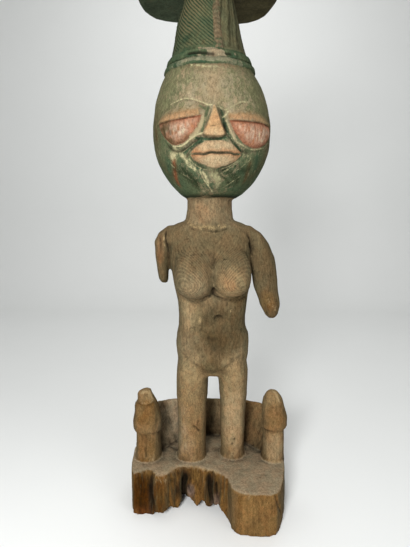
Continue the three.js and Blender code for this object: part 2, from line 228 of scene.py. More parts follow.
lips = {
    "upper": [
        (-41, 724), (-32, 733), (-19, 740), (-7, 745), (9, 747), (26, 746), (41, 741), (53, 733), (65, 725),
    ],
    "mouth": [(-41, 724), (-20, 723), (-11, 722), (2, 725), (14, 724), (36, 725), (46, 723), (65, 725)],
    "lower": [
        (-41, 724), (-35, 713), (-19, 706), (-2, 700), (10, 698), (26, 701), (43, 706), (56, 714), (65, 725),
    ],
    "proud": (7.5, 7.0), "reach": (20, 16), "edge": 2.2,
}
ear = {
    "rim": [
        (206, 789), (213, 798), (224, 800), (234, 792), (237, 775), (232, 757), (221, 746), (210, 748),
    ],
    "lobe": (211, 768), "lobeSize": 7, "lobeProud": 3.5, "rimProud": 4.5, "rimWide": 4.5, "dip": 1.5,
}

# Cuts on the face: a line, its half width, its depth (a rise where negative) and its fade at the ends.
faceCuts = [
    {"line": [(-106, 781), (-89, 780.5), (-56, 781.5), (-24, 784), (-17, 786)], "wide": 1.3, "deep": 0.8},
    {"line": [(35, 777), (53, 777), (80, 778), (121, 778), (133, 777)], "wide": 1.3, "deep": 0.8},
    {
        "line": [(-12, 751), (-20, 749), (-31, 743), (-45, 735), (-60, 730), (-78, 733), (-92, 744)],
        "wide": 3.0, "deep": 2.8,
    },
    {"line": [(-17, 744), (-28, 736), (-41, 728), (-50, 717)], "wide": 2.0, "deep": 2.0},
    {"line": [(24, 778), (26, 766), (34, 752), (47, 739), (62, 730), (82, 726)], "wide": 3.0, "deep": 2.2},
    {"line": [(-2, 804), (-6, 793), (-9, 782), (-12, 770), (-15, 760)], "wide": 2.6, "deep": 0.8},
    {"line": [(14, 804), (18, 792), (21, 782), (24, 772), (28, 761)], "wide": 2.6, "deep": 1.6},
    {"line": [(-16, 804), (-8, 799)], "wide": 5, "deep": 1.0},
    {"line": [(17, 798), (22, 788)], "wide": 5, "deep": 1.0},
    {"line": [(-75, 814), (-57, 816), (-37, 815), (-20, 809), (-6, 802)], "wide": 1.6, "deep": 0.9},
    {"line": [(16, 800), (27, 797), (41, 804), (58, 811), (68, 813)], "wide": 1.6, "deep": 0.9},
    {"line": [(-39, 723), (-20, 722), (-11, 721), (2, 724), (14, 723), (36, 724), (46, 722), (63, 724)],
     "wide": 1.6, "deep": 2.6},
    {"line": [(-40, 717), (-30, 707), (-10, 698), (10, 695), (30, 698), (52, 709)], "wide": 5, "deep": 1.6},
    {"line": [(6, 750), (7, 745)], "wide": 4, "deep": 1.4},
    {"line": [(-11, 751), (-3, 747), (6, 749), (14, 746.5), (23, 750)], "wide": 1.8, "deep": 1.0},
    {"line": [(-90, 779), (-87, 766), (-88, 755)], "wide": 1.1, "deep": 1.8},
    {"line": [(-74, 780), (-75, 769), (-72, 758)], "wide": 0.9, "deep": 1.2},
    {"line": [(-75, 810), (-74, 798), (-73, 786)], "wide": 0.9, "deep": 1.2},
    {"line": [(-1, 768.5), (4, 767), (10, 769)], "wide": 1.0, "deep": 2.0},
    {"line": [(-25, 695), (-23, 687), (-16, 678), (-8, 670), (8, 662)], "wide": 1.0, "deep": 0.9},
    {"line": [(100, 777), (101, 768), (97, 760)], "wide": 0.9, "deep": 0.9},
]

# Cuts and ridges on the body, in space.
bodyCuts = [
    {"line": [(-68, -24, 456), (-58, -33, 451), (-45, -40, 445), (-33, -45, 443), (-22, -47, 444),
              (-12, -49, 452), (-1, -50, 458)], "wide": 2.6, "deep": 4.4},
    {"line": [(7, -50, 459), (16, -49, 454), (30, -47, 449), (47, -41, 446), (62, -33, 446), (71, -22, 451)],
     "wide": 2.6, "deep": 4.4},
    {"line": [(6, -56, 503), (5, -56, 492), (5, -52, 481), (4, -51, 470), (3, -50, 458)],
     "wide": 4.5, "deep": 2.4},
    {"line": [(73, -34, 583), (77, -28, 566), (81, -13, 545), (84, -3, 524)], "wide": 2.2, "deep": 5},
    {"line": [(-92, -25, 588), (-92, -25, 576), (-91, -21, 560), (-88, -14, 545), (-89, -9, 526)],
     "wide": 1.7, "deep": 6},
    {"line": [(-104, -24, 574), (-103, -26, 563), (-102, -26, 549), (-101, -27, 538)], "wide": 1.5, "deep": 3.6},
    {"line": [(-84, -31, 578), (-82, -26, 556), (-82, -24, 536)], "wide": 1.5, "deep": 1.6},
    {"line": [(7, -48, 411), (11, -51, 416), (16, -52, 418), (21, -47, 415), (25, -46, 410)],
     "wide": 2.0, "deep": 2.6},
    {"line": [(6, -51, 563), (5, -53, 549), (6, -53, 539), (5, -54, 515)], "wide": 2.2, "deep": 0.8},
    {"line": [(-51, -17, 604), (-41, -36, 597), (-25, -42, 592), (-1, -44, 589), (24, -41, 593), (41, -32, 598)],
     "wide": 2.6, "deep": -1.3},
    {"line": [(-51, -17, 599), (-41, -38, 592), (-25, -43, 587), (-1, -45, 584), (24, -42, 588), (43, -33, 593)],
     "wide": 2.2, "deep": 1.2},
    {"line": [(-62, -33, 338), (-39, -49, 319), (-24, -50, 312), (-9, -49, 301)], "wide": 3.4, "deep": 0.9},
    {"line": [(66, -33, 338), (44, -49, 320), (32, -50, 313), (17, -49, 301)], "wide": 3.4, "deep": 0.9},
    {"line": [(103, -50, 470), (104, -52, 450), (107, -53, 432), (112, -48, 418)], "wide": 2.4, "deep": 2.2},
    {"line": [(104, -50, 466), (116, -54, 462), (128, -52, 455), (134, -45, 440)], "wide": 1.8, "deep": 1.4},
    {"line": [(-38, -28, 172), (-31, -27, 166), (-25, -24, 158)], "wide": 2.4, "deep": 2.6},
    {"line": [(-27, -27, 182), (-29, -27, 171)], "wide": 1.6, "deep": 1.6},
    {"line": [(52, -15, 138), (50, -15, 134)], "wide": 2.2, "deep": 1.6},
    {"line": [(47, -15, 127), (45, -15, 122)], "wide": 2.2, "deep": 1.4},
    {"line": [(-69, -14, 381), (-48, -38, 387), (-31, -45, 391)], "wide": 1.2, "deep": 0.5},
    {"line": [(-60, -40, 568), (-34, -50, 572), (-6, -53, 570), (30, -53, 571)], "wide": 1.2, "deep": 0.7},
    {"line": [(-62, -50, 538), (-48, -56, 534), (-30, -60, 541), (-11, -58, 541)], "wide": 1.3, "deep": 1.0},
    {"line": [(20, -56, 542), (34, -62, 545), (54, -60, 542), (70, -50, 538)], "wide": 1.3, "deep": 1.0},
    {"line": [(22, -62, 531), (36, -66, 533), (52, -64, 530)], "wide": 1.3, "deep": 0.9},
    {"line": [(26, -68, 521), (40, -72, 523), (56, -68, 519)], "wide": 1.3, "deep": 0.8},
    {"line": [(-6, -50, 372), (6, -52, 366), (18, -51, 370)], "wide": 3.2, "deep": 0.8},
    {"line": [(-4, -52, 352), (6, -53, 349), (16, -52, 353)], "wide": 2.6, "deep": 0.7},
    {"line": [(84, -10, 535), (84.5, -12, 512), (84.5, -12, 490), (84.5, -12, 464)], "wide": 10, "deep": -4.6},
]
footCuts = [
    {"line": [(-123, -58, 90), (-124, -64, 72), (-122, -69, 56), (-118, -80, 30), (-116, -82, 12)],
     "wide": 2.6, "deep": 5},
    {"line": [(126, -126, 84), (129, -125, 70), (134, -118, 56), (141, -101, 26)], "wide": 1.5, "deep": 4.5},
    {"line": [(-52, -42, 68), (-56, -44, 58), (-58, -48, 38), (-54, -50, 22)], "wide": 5, "deep": 9},
    {"line": [(-44, -44, 62), (-46, -48, 46), (-42, -50, 36)], "wide": 2, "deep": 5},
    {"line": [(-4, -52, 76), (-3, -55, 62), (0, -61, 44), (4, -67, 18)], "wide": 4, "deep": 9},
    {"line": [(12, -60, 66), (14, -66, 48), (18, -74, 26)], "wide": 2.2, "deep": 5},
    {"line": [(-80, -62, 70), (-77, -66, 50), (-75, -70, 26)], "wide": 3, "deep": 5},
    {"line": [(34, -84, 80), (33, -88, 60), (36, -94, 30)], "wide": 3, "deep": 5},
    {"line": [(-160, -73, 66), (-161, -74, 40), (-161, -74, 12)], "wide": 1.6, "deep": 2.4},
    {"line": [(-144, -66, 60), (-146, -66, 40), (-145, -67, 14)], "wide": 1.4, "deep": 2.0},
    {"line": [(97, -66, 88), (112, -68, 88), (126, -69, 88)], "wide": 1.0, "deep": 0.6},
    {"line": [(93, -79, 88), (103, -74, 88), (112, -60, 88)], "wide": 1.0, "deep": 0.6},
]
hairCuts = [
    {"line": [(-42, -84, 900), (-30, -90, 901), (-12, -96, 899), (8, -98, 896)], "wide": 3.2, "deep": 4.2},
    {"line": [(25, -89, 899), (31, -88, 900), (37, -85, 900)], "wide": 2.6, "deep": 4.0},
    {"line": [(22, -84, 916), (34, -80, 917), (47, -73, 916)], "wide": 3.2, "deep": 2.6},
    {"line": [(-53, -58, 934), (-46, -68, 922)], "wide": 1.4, "deep": 2.0},
    {"line": [(-48, -64, 942), (-40, -74, 926)], "wide": 1.4, "deep": 2.0},
    {"line": [(-42, -66, 946), (-33, -76, 930)], "wide": 1.4, "deep": 1.8},
    {"line": [(-36, -80, 922), (-28, -83, 914)], "wide": 1.4, "deep": 1.6},
    {"line": [(-52, -70, 921), (-34, -81, 915), (-22, -87, 917)], "wide": 1.6, "deep": 1.6},
    {"line": [(20, -98, 882), (27, -96, 886), (33, -93, 883)], "wide": 1.8, "deep": 1.8},
]
figureCuts = [
    {"line": [(-168, -16, 156), (-160, -30, 152), (-146, -31, 149), (-126, -28, 150), (-112, -6, 150)],
     "wide": 2.6, "deep": 2.0},
    {"line": [(-124, -20, 212), (-117, -20, 196), (-116, -22, 176), (-118, -26, 158)], "wide": 2.0, "deep": 2.4},
    {"line": [(-162, -16, 212), (-166, -16, 196), (-166, -18, 174)], "wide": 1.8, "deep": 1.4},
    {"line": [(-158, -14, 215), (-146, -22, 213), (-130, -18, 214), (-122, -8, 217)], "wide": 1.8, "deep": 1.6},
    {"line": [(112, -10, 159), (130, -27, 160), (147, -30, 162), (162, -18, 166)], "wide": 2.4, "deep": 1.8},
    {"line": [(120, -20, 212), (117, -24, 190), (118, -26, 168)], "wide": 1.8, "deep": 1.6},
    {"line": [(156, -14, 206), (158, -22, 190), (157, -24, 170)], "wide": 1.8, "deep": 1.4},
    {"line": [(126, -20, 214), (140, -24, 212), (152, -14, 214)], "wide": 1.8, "deep": 0.9},
    {"line": [(136, -26, 152), (137, -26, 130), (137, -26, 104)], "wide": 2.2, "deep": 1.5},
    {"line": [(-139, -31, 142), (-140, -31, 122), (-139, -32, 100)], "wide": 2.4, "deep": 1.4},
]


def applyModifiers(thing):
    view = bpy.context.evaluated_depsgraph_get()
    mesh = bpy.data.meshes.new_from_object(thing.evaluated_get(view), depsgraph=view)
    old = thing.data
    thing.modifiers.clear()
    thing.data = mesh
    bpy.data.meshes.remove(old)


def remesh(thing, size):
    step = thing.modifiers.new("remesh", "REMESH")
    step.mode = "VOXEL"
    step.voxel_size = size / 1000
    applyModifiers(thing)


def readPoints(mesh):
    flat = np.empty(len(mesh.vertices) * 3)
    mesh.vertices.foreach_get("co", flat)
    points = flat.reshape(-1, 3) * 1000
    points[:, 0] -= post["axisX"]
    return points


def writePoints(mesh, points):
    moved = points.copy()
    moved[:, 0] += post["axisX"]
    mesh.vertices.foreach_set("co", (moved / 1000).ravel())
    mesh.update()


def readNormals(mesh):
    flat = np.empty(len(mesh.vertices) * 3, np.float32)
    mesh.vertex_normals.foreach_get("vector", flat)
    return flat.reshape(-1, 3).astype(float)


def readEdges(mesh):
    flat = np.empty(len(mesh.edges) * 2, np.int32)
    mesh.edges.foreach_get("vertices", flat)
    return flat.reshape(-1, 2)


def neighbourMean(values, edges):
    # The mean of each point's neighbours along the mesh's edges.
    ends = np.concatenate([edges[:, 0], edges[:, 1]])
    others = np.concatenate([edges[:, 1], edges[:, 0]])
    count = len(values)
    share = 1 / np.maximum(np.bincount(ends, minlength=count), 1)
    if values.ndim == 1:
        return np.bincount(ends, values[others], count) * share
    columns = [np.bincount(ends, values[others, i], count) * share for i in range(values.shape[1])]
    return np.stack(columns, 1)


def steady(points, edges, weight, rounds):
    # Smooths facets away and keeps the size: each pull in is followed by a push out.
    for i in range(rounds):
        for step in (post["pull"], post["push"]):
            points = points + (step * weight)[:, None] * (neighbourMean(points, edges) - points)
    return points


def relax(points, edges, weight, rounds):
    # Plain smoothing, which melts one form into the next where the weight is high.
    for i in range(rounds):
        points = points + (post["pull"] * weight)[:, None] * (neighbourMean(points, edges) - points)
    return points


def ramp(value, low, high):
    t = np.clip((value - low) / (high - low), 0, 1)
    return t * t * (3 - 2 * t)


def dome(t):
    # Rises steeply from 0 and rounds over to 1, as a quarter circle does.
    return np.sqrt(1 - (1 - np.clip(t, 0, 1)) ** 2)


def bell(distance, wide):
    return np.exp(-((distance / wide) ** 2))


def curved(line, step):
    # A Catmull-Rom curve through the line's points, traced every few millimetres.
    line = np.array(line, float)
    rows = []
    for i in range(len(line) - 1):
        before, start = line[max(i - 1, 0)], line[i]
        end, after = line[i + 1], line[min(i + 2, len(line) - 1)]
        count = max(int(np.linalg.norm(end - start) / step), 1)
        for t in np.arange(count) / count:
            bend = (end - before) / 2, (after - start) / 2
            cube = 2 * start - 2 * end + bend[0] + bend[1]
            square = 3 * end - 3 * start - 2 * bend[0] - bend[1]
            rows.append(((cube * t + square) * t + bend[0]) * t + start)
    rows.append(line[-1])
    return np.array(rows)


def lineDistance(spots, line):
    # How far each spot is from a line of short straight runs, and how far along it is nearest.
    best = np.full(len(spots), 1e6)
    along = np.zeros(len(spots))
    for i in range(len(line) - 1):
        run = line[i + 1] - line[i]
        t = np.clip((spots - line[i]) @ run / max(run @ run, 1e-9), 0, 1)
        gap = np.linalg.norm(spots - line[i] - t[:, None] * run, axis=1)
        near = gap < best
        best[near] = gap[near]
        along[near] = (i + t[near]) / (len(line) - 1)
    return best, along


def insideOf(spots, outline):
    hit = np.zeros(len(spots), bool)
    x, y = spots.T
    for (x1, y1), (x2, y2) in zip(outline, np.roll(outline, -1, 0)):
        crosses = (y1 > y) != (y2 > y)
        rise = y2 - y1 if y2 != y1 else 1e-9
        hit ^= crosses & (x < x1 + (y - y1) / rise * (x2 - x1))
    return hit


def edgeDistance(spots, outline):
    # Distance to a closed outline, above zero inside it.
    closed = np.vstack([outline, outline[:1]])
    gap = lineDistance(spots, closed)[0]
    return np.where(insideOf(spots, outline), gap, -gap)


def cut(spots, cuts, step=2.5):
    # The depth that all the cuts together take away at each spot.
    depth = np.zeros(len(spots))
    for each in cuts:
        line = curved(each["line"], step)
        reach = each["wide"] * 2.6
        near = np.all((spots > line.min(0) - reach) & (spots < line.max(0) + reach), axis=1)
        if not near.any():
            continue
        gap, along = lineDistance(spots[near], line)
        ends = ramp(along, -0.02, 0.14) * ramp(1 - along, -0.02, 0.14)
        depth[near] += each["deep"] * bell(gap, each["wide"]) * (0.35 + 0.65 * ends)
    return depth


def lattice(ix, iy, iz, seed):
    # A fixed number between 0 and 1 for each whole-number place.
    mixed = (ix * 374761393 + iy * 668265263 + iz * 1274126177 + seed * 362437) & 0xFFFFFFFF
    mixed = ((mixed ^ (mixed >> 13)) * 1103515245) & 0xFFFFFFFF
    mixed = ((mixed ^ (mixed >> 16)) * 1664525) & 0xFFFFFFFF
    return (mixed >> 8) / 16777216


def noise(spots, size, seed):
    # Smooth value noise between -1 and 1. The size is one number, or one for each direction.
    scaled = spots / np.array(size, float)
    low = np.floor(scaled).astype(np.int64)
    t = scaled - low
    t = t * t * (3 - 2 * t)
    total = np.zeros(len(spots))
    for corner in range(8):
        step = np.array([corner & 1, corner >> 1 & 1, corner >> 2 & 1])
        share = np.prod(np.where(step, t, 1 - t), axis=1)
        total += share * lattice(*(low + step).T, seed)
    return total * 2 - 1


def rowsAt(sections, z):
    fine = curved(sections, 1.0)
    return [np.interp(z, fine[:, 0], fine[:, i]) for i in (1, 2, 3, 4)]


def toShell(points, sections, z):
    # Where a point lies on a shell of sections: its angle round, 0 at the front, and how far out it is.
    left, right, front, back = rowsAt(sections, z)
    middle = np.stack([(left + right) / 2, (front + back) / 2])
    half = np.stack([(right - left) / 2, (back - front) / 2])
    dx = points[:, 0] - middle[0]
    dy = middle[1] - points[:, 1]
    out = np.hypot(dx, dy) - half.mean(0)
    for i in range(5):
        angle = np.arctan2(dx / np.maximum(half[0] + out, 1), dy / np.maximum(half[1] + out, 1))
        sin, cos = np.sin(angle), np.cos(angle)
        out = dx * sin + dy * cos - (half[0] * sin**2 + half[1] * cos**2)
    return angle, middle, half


def onShell(angle, middle, half, out):
    x = middle[0] + (half[0] + out) * np.sin(angle)
    y = middle[1] - (half[1] + out) * np.cos(angle)
    return x, y


def eyeRelief(spots, eye):
    across, z = spots.T
    lid = curved(eye["lid"], 2)
    lower = curved(eye["lower"], 2)
    brow = curved(eye["brow"], 2)
    rim = curved(eye["rim"], 2)
    lidZ = np.interp(across, lid[:, 0], lid[:, 1])
    browZ = np.interp(across, brow[:, 0], brow[:, 1])
    atLid = lineDistance(np.stack([across, lidZ], 1), lower)[0]
    ball = eyeForm["bulge"] * dome(lineDistance(spots, lower)[0] / eyeForm["reach"])
    ballAtLid = eyeForm["bulge"] * dome(atLid / eyeForm["reach"])
    ballShape = np.vstack([lower, lid[::-1][1:-1]])
    inBall = ramp(edgeDistance(spots, ballShape), -0.4, eyeForm["edge"])
    corners = ramp(across, brow[0, 0], brow[0, 0] + eyeForm["corner"])
    corners = corners * ramp(-across, -brow[-1, 0], -brow[-1, 0] + eyeForm["corner"])
    rise = np.clip((z - lidZ) / np.maximum(browZ - lidZ, 3), 0, 1)
    heavy = (ballAtLid + eyeForm["over"]) * (1 - ramp(rise, 0, 1)) * corners
    above = ramp(z - lidZ, -0.7, 0.7)
    rimShape = np.vstack([lower, rim[::-1]])
    inRim = ramp(edgeDistance(spots, rimShape), -0.6, eyeForm["rimEdge"]) * (1 - above)
    return np.maximum(above * heavy, (1 - above) * ball * inBall) + eyeForm["rimProud"] * inRim


def noseRelief(spots):
    # A wedge with a flat front, narrow sides and a sharp underside.
    outline = np.array(nose["outline"], float)
    proudZ, proud = np.array(nose["proud"], float).T
    height = np.interp(spots[:, 1], proudZ, proud)
    left, floor, right = outline[:6], outline[5:10], outline[9:]
    sides = np.minimum(lineDistance(spots, left)[0], lineDistance(spots, right)[0])
    under = spots[:, 1] - np.interp(spots[:, 0], floor[:, 0], floor[:, 1])
    rise = np.minimum(sides * nose["slope"], under * nose["under"])
    return np.where(insideOf(spots, outline), np.clip(rise, 0, height), 0)


def lipRelief(spots):
    mouth = curved(lips["mouth"], 2)
    total = np.zeros(len(spots))
    for name, proud, reach in zip(("upper", "lower"), lips["proud"], lips["reach"]):
        border = curved(lips[name], 2)
        shape = np.vstack([border, mouth[::-1][1:-1]])
        inside = ramp(edgeDistance(spots, shape), -0.5, lips["edge"])
        corner = dome((spots[:, 0] - mouth[0, 0]) / 22) * dome((mouth[-1, 0] - spots[:, 0]) / 22)
        share = lineDistance(spots, border)[0] / reach
        rise = (dome(share) + np.clip(share, 0, 1)) / 2
        total = np.maximum(total, proud * rise * corner * inside)
    return total


def earRelief(spots):
    side = np.stack([np.abs(spots[:, 0]), spots[:, 1]], 1)
    rim = curved(ear["rim"], 2)
    gap = lineDistance(side, rim)[0]
    lobe = np.linalg.norm(side - np.array(ear["lobe"]), axis=1)
    bowl = ramp(edgeDistance(side, rim), 0, 5) * ear["dip"]
    return ear["rimProud"] * bell(gap, ear["rimWide"]) + ear["lobeProud"] * bell(lobe, ear["lobeSize"]) - bowl


def faceRelief(across, z):
    spots = np.stack([across, z], 1)
    relief = earRelief(spots)
    face = np.abs(across) < 160
    front = spots[face]
    forms = np.maximum(eyeRelief(front, eyes[0]), eyeRelief(front, eyes[1]))
    forms = np.maximum(forms, noseRelief(front))
    forms = np.maximum(forms, lipRelief(front))
    relief[face] += forms - cut(front, faceCuts)
    return relief


def hairHeight(points):
    # The hairline rises towards the back, and the tilt dies away up the cone.
    low, top = hair["sections"][0][0], hair["top"]
    slope = hair["tilt"] * (points[:, 1] - hair["front"]) / (top - low)
    uneven = hair["uneven"] * noise(points, (34, 34, 300), 8)
    return (points[:, 2] + uneven - slope * top) / (1 - slope)


def hairRelief(angle, z):
    # Slanting strands to the left of the seam strip, broader plaits to its right.
    strip = math.radians(hair["stripAngle"])
    half = hair["stripHalf"] / 60
    onCone = ramp(z, *hair["strandFrom"])
    strands = (angle + (z - 908) * hair["lean"]) * hair["strands"] / (2 * math.pi)
    plaits = (angle - z * hair["plaitLean"]) * hair["plaits"] / (2 * math.pi)
    strand = -hair["strandDepth"] * (1 - np.abs(np.sin(math.pi * strands))) ** 1.4
    plait = -hair["plaitDepth"] * (1 - np.abs(np.sin(math.pi * plaits))) ** 2.5
    right = ramp(angle, strip, strip + 0.04)
    relief = onCone * (strand * (1 - right) + (plait + 0.35 * strand) * right)
    gap = angle - strip
    onStrip = ramp(half - np.abs(gap), -0.01, 0.02) * ramp(z, 903, 911)
    chevron = (z + np.abs(gap) * 40) / hair["notch"]
    notches = -hair["notchDepth"] * (1 - np.abs(np.sin(math.pi * chevron))) ** 1.2
    relief = relief * (1 - onStrip) + (hair["stripProud"] + notches) * onStrip
    for height, wide, deep in ((878.5, 1.5, 1.8), (892, 1.6, 2.0), (909, 2.2, 1.2), (917, 1.6, 1.0)):
        relief -= deep * bell(z - height, wide) * (1 - 0.7 * onStrip)
    return relief


def carveHead(points):
    # Every point of the head and the hair is set on its shell, with the carved relief on top.
    hairZ = hairHeight(points)
    zone = (points[:, 2] > head["low"][0]) & (points[:, 2] < hair["fade"][1])
    spots = points[zone]
    z = spots[:, 2]
    isHair = hairZ[zone] > hair["line"]
    angle, middle, half = toShell(spots, head["sections"], z)
    across = angle * head["radius"]
    wobble = 0.7 * noise(spots, 24, 3) + 0.25 * noise(spots, 9, 4)
    x, y = onShell(angle, middle, half, faceRelief(across, z) + wobble)
    hairAngle, hairMiddle, hairHalf = toShell(spots, hair["sections"], hairZ[zone])
    rough = 0.8 * noise(spots, 16, 5) + 0.3 * noise(spots, 5, 6)
    rough -= cut(spots, hairCuts)
    hx, hy = onShell(hairAngle, hairMiddle, hairHalf, hairRelief(hairAngle, hairZ[zone]) + rough)
    x = np.where(isHair, hx, x)
    y = np.where(isHair, hy, y)
    weight = ramp(z, *head["low"]) * (1 - ramp(z, *hair["fade"]))
    points[zone, 0] += weight * (x - spots[:, 0])
    points[zone, 1] += weight * (y - spots[:, 1])
    return points


def carveBody(points, normals):
    # Tool marks, grain, cracks and splinters below the chin and on the capital.
    z = points[:, 2]
    front = ramp(-points[:, 1], 20, 50)
    body = (z < head["low"][1]) | (z > hair["fade"][0])
    deep = np.zeros(len(points))
    deep[body] += cut(points[body], bodyCuts + footCuts + figureCuts)
    rise = 0.7 * noise(points, 26, 11) + 0.3 * noise(points, 9, 12)
    upright = 1 - ramp(np.abs(normals[:, 2]), 0.4, 0.75)
    base = 1 - ramp(z, 84, 92)
    grain = 1 - np.abs(noise(points, (4.5, 4.5, 70), 13)) * 2
    fibre = noise(points, (2.6, 2.6, 40), 14)
    x = points[:, 0]
    rotted = base * ramp(x, -168, -158) * (1 - ramp(x, 34, 44)) * front
    foot = base * ramp(x, 36, 46) * front
    rise += upright * (rotted * (1.6 * grain + 0.9 * fibre) + foot * 0.55 * fibre)
    legs = upright * (1 - ramp(z, 300, 360)) * (1 - base)
    rise += legs * 0.35 * noise(points, (5, 5, 60), 15)
    move = np.where(body, rise - deep, 0)
    return points + normals * move[:, None]


def keepInside(points):
    # Nothing carved reaches past the log's own faces.
    points[:, 2] = np.clip(points[:, 2], 0, hair["top"] + 80)
    return points


# Colours as they look in the studio light, as red, green and blue out of 255. Depth darkens them all.
tints = {
    "dryWood": (142, 123, 90), "greyWood": (122, 104, 73), "duskWood": (98, 82, 54),
    "warmWood": (146, 115, 75), "tanWood": (158, 134, 94), "nutWood": (122, 88, 44),
    "goldWood": (146, 110, 64), "darkWood": (80, 47, 8), "rawWood": (184, 158, 116),
    "straw": (190, 166, 116), "hollowShade": (58, 40, 22), "shadeAndGrime": (24, 19, 11), "mauve": (132, 108, 90),
    "stone": (162, 145, 112), "olive": (120, 119, 86), "sideShade": (108, 100, 72),
    "teal": (65, 88, 64), "moss": (97, 106, 76), "pine": (44, 54, 34), "paleGreen": (146, 144, 106),
    "cream": (202, 192, 148), "salmon": (176, 126, 96), "roseHighlight": (206, 178, 148), "peach": (190, 144, 104),
    "amber": (192, 154, 108), "honeyHighlight": (200, 172, 130), "lidTan": (184, 144, 104),
    "lipTan": (188, 162, 122), "rust": (168, 112, 70), "redBrown": (134, 76, 48),
    "oldBrown": (98, 80, 52), "blush": (172, 146, 114), "stripTan": (128, 112, 84),
    "capTeal": (80, 91, 70), "capOlive": (85, 79, 54),
    "litTopWood": (180, 160, 126), "crotchShade": (86, 70, 42),
    "bandTan": (162, 146, 114), "bandGrey": (140, 138, 108),
}
depth = 0.55

# The bare wood's colour up the post, and broad patches on it, some of them painted light and painted shade: place,
# reach, colour and share.
bareBands = [
    (0, "nutWood"), (84, "nutWood"), (92, "warmWood"), (180, "warmWood"),
    (300, "tanWood"), (345, "dryWood"), (400, "greyWood"), (440, "greyWood"), (470, "dryWood"),
    (520, "greyWood"), (590, "greyWood"), (610, "dryWood"), (650, "dryWood"), (680, "stone"),
    (860, "stone"), (900, "oldBrown"), (1050, "oldBrown"), (1144, "greyWood"),
]
barePatches = [
    {"at": (-33, -80, 474), "reach": (36, 60, 30), "tint": "dryWood", "share": 0.8},
    {"at": (42, -80, 476), "reach": (40, 60, 38), "tint": "tanWood", "share": 0.7},
    {"at": (60, -40, 450), "reach": (20, 40, 20), "tint": "nutWood", "share": 0.4},
    {"at": (-42, -40, 410), "reach": (30, 40, 34), "tint": "tanWood", "share": 0.5},
    {"at": (26, -50, 392), "reach": (62, 40, 44), "tint": "duskWood", "share": 0.8},
    {"at": (60, -30, 410), "reach": (34, 40, 60), "tint": "duskWood", "share": 0.55},
    # The next two patches darken the pubic area and the top of the leg opening: painted shade.
    {"at": (8, -55, 352), "reach": (46, 30, 34), "tint": "crotchShade", "share": 0.75},
    {"at": (2, -50, 310), "reach": (30, 40, 16), "tint": "crotchShade", "share": 0.7},
    {"at": (30, -50, 560), "reach": (60, 40, 34), "tint": "duskWood", "share": 0.35},
    {"at": (-70, -40, 555), "reach": (30, 40, 50), "tint": "duskWood", "share": 0.3},
    {"at": (118, -20, 480), "reach": (36, 60, 110), "tint": "duskWood", "share": 0.75},
    {"at": (120, -50, 430), "reach": (26, 30, 26), "tint": "darkWood", "share": 0.25},
    {"at": (-104, -10, 500), "reach": (28, 50, 50), "tint": "duskWood", "share": 0.8},
    # The next patch lightens the inner left face of the back wall: painted light.
    {"at": (-80, 60, 150), "reach": (60, 90, 90), "tint": "litTopWood", "share": 0.9},
    {"at": (0, 110, 150), "reach": (46, 60, 80), "tint": "dryWood", "share": 0.8},
    {"at": (50, -10, 200), "reach": (30, 40, 110), "tint": "rawWood", "share": 0.75},
    {"at": (137, -20, 120), "reach": (24, 30, 40), "tint": "rawWood", "share": 0.6},
    {"at": (-140, 0, 196), "reach": (38, 44, 36), "tint": "nutWood", "share": 0.95},
    {"at": (-140, 0, 120), "reach": (38, 44, 46), "tint": "nutWood", "share": 0.6},
    {"at": (140, 0, 190), "reach": (36, 44, 44), "tint": "nutWood", "share": 0.45},
    # The next patch darkens the left foot's front face: painted shadow.
    {"at": (-145, -60, 34), "reach": (24, 40, 56), "tint": "darkWood", "share": 1},
    {"at": (-104, -76, 36), "reach": (24, 40, 40), "tint": "darkWood", "share": 0.75},
    # The next two patches darken the hollow under the rotted front between the feet: painted shade.
    {"at": (-60, -30, 44), "reach": (24, 50, 44), "tint": "hollowShade", "share": 0.95},
    {"at": (2, -50, 44), "reach": (16, 40, 44), "tint": "hollowShade", "share": 0.8},
    {"at": (10, 0, 630), "reach": (60, 60, 30), "tint": "dryWood", "share": 0.3},
    {"at": (-17, -45, 624), "reach": (20, 20, 20), "tint": "rust", "share": 0.25},
    {"at": (100, -110, 40), "reach": (66, 60, 58), "tint": "goldWood", "share": 0.8},
    {"at": (164, -50, 44), "reach": (22, 70, 60), "tint": "duskWood", "share": 0.9},
    {"at": (-91, -76, 38), "reach": (20, 16, 34), "tint": "nutWood", "share": 0.6},
    # The next patch darkens a deep crack in the left foot: painted shade.
    {"at": (-123, -70, 40), "reach": (7, 24, 60), "tint": "hollowShade", "share": 1},
    {"at": (-144, -70, 2), "reach": (26, 30, 18), "tint": "redBrown", "share": 0.2},
    {"at": (-42, -52, 38), "reach": (9, 14, 16), "tint": "mauve", "share": 0.9},
    {"at": (12, -62, 28), "reach": (12, 14, 17), "tint": "mauve", "share": 0.9},
    # The next two patches darken deep cracks in the broken front: painted shade.
    {"at": (0, -56, 62), "reach": (9, 14, 14), "tint": "hollowShade", "share": 0.9},
    {"at": (-57, -47, 38), "reach": (9, 18, 30), "tint": "hollowShade", "share": 0.8},
    {"at": (37, -90, 481), "reach": (16, 20, 16), "tint": "rust", "share": 0.3},
    {"at": (-30, -80, 520), "reach": (16, 30, 12), "tint": "duskWood", "share": 0.45},
    {"at": (-107, -20, 548), "reach": (12, 20, 30), "tint": "rust", "share": 0.3},
    {"at": (114, -50, 448), "reach": (16, 20, 22), "tint": "nutWood", "share": 0.5},
    {"at": (-18, 60, 300), "reach": (80, 60, 40), "tint": "greyWood", "share": 0.6},
    {"at": (-50, -40, 420), "reach": (20, 40, 34), "tint": "rawWood", "share": 0.45},
]

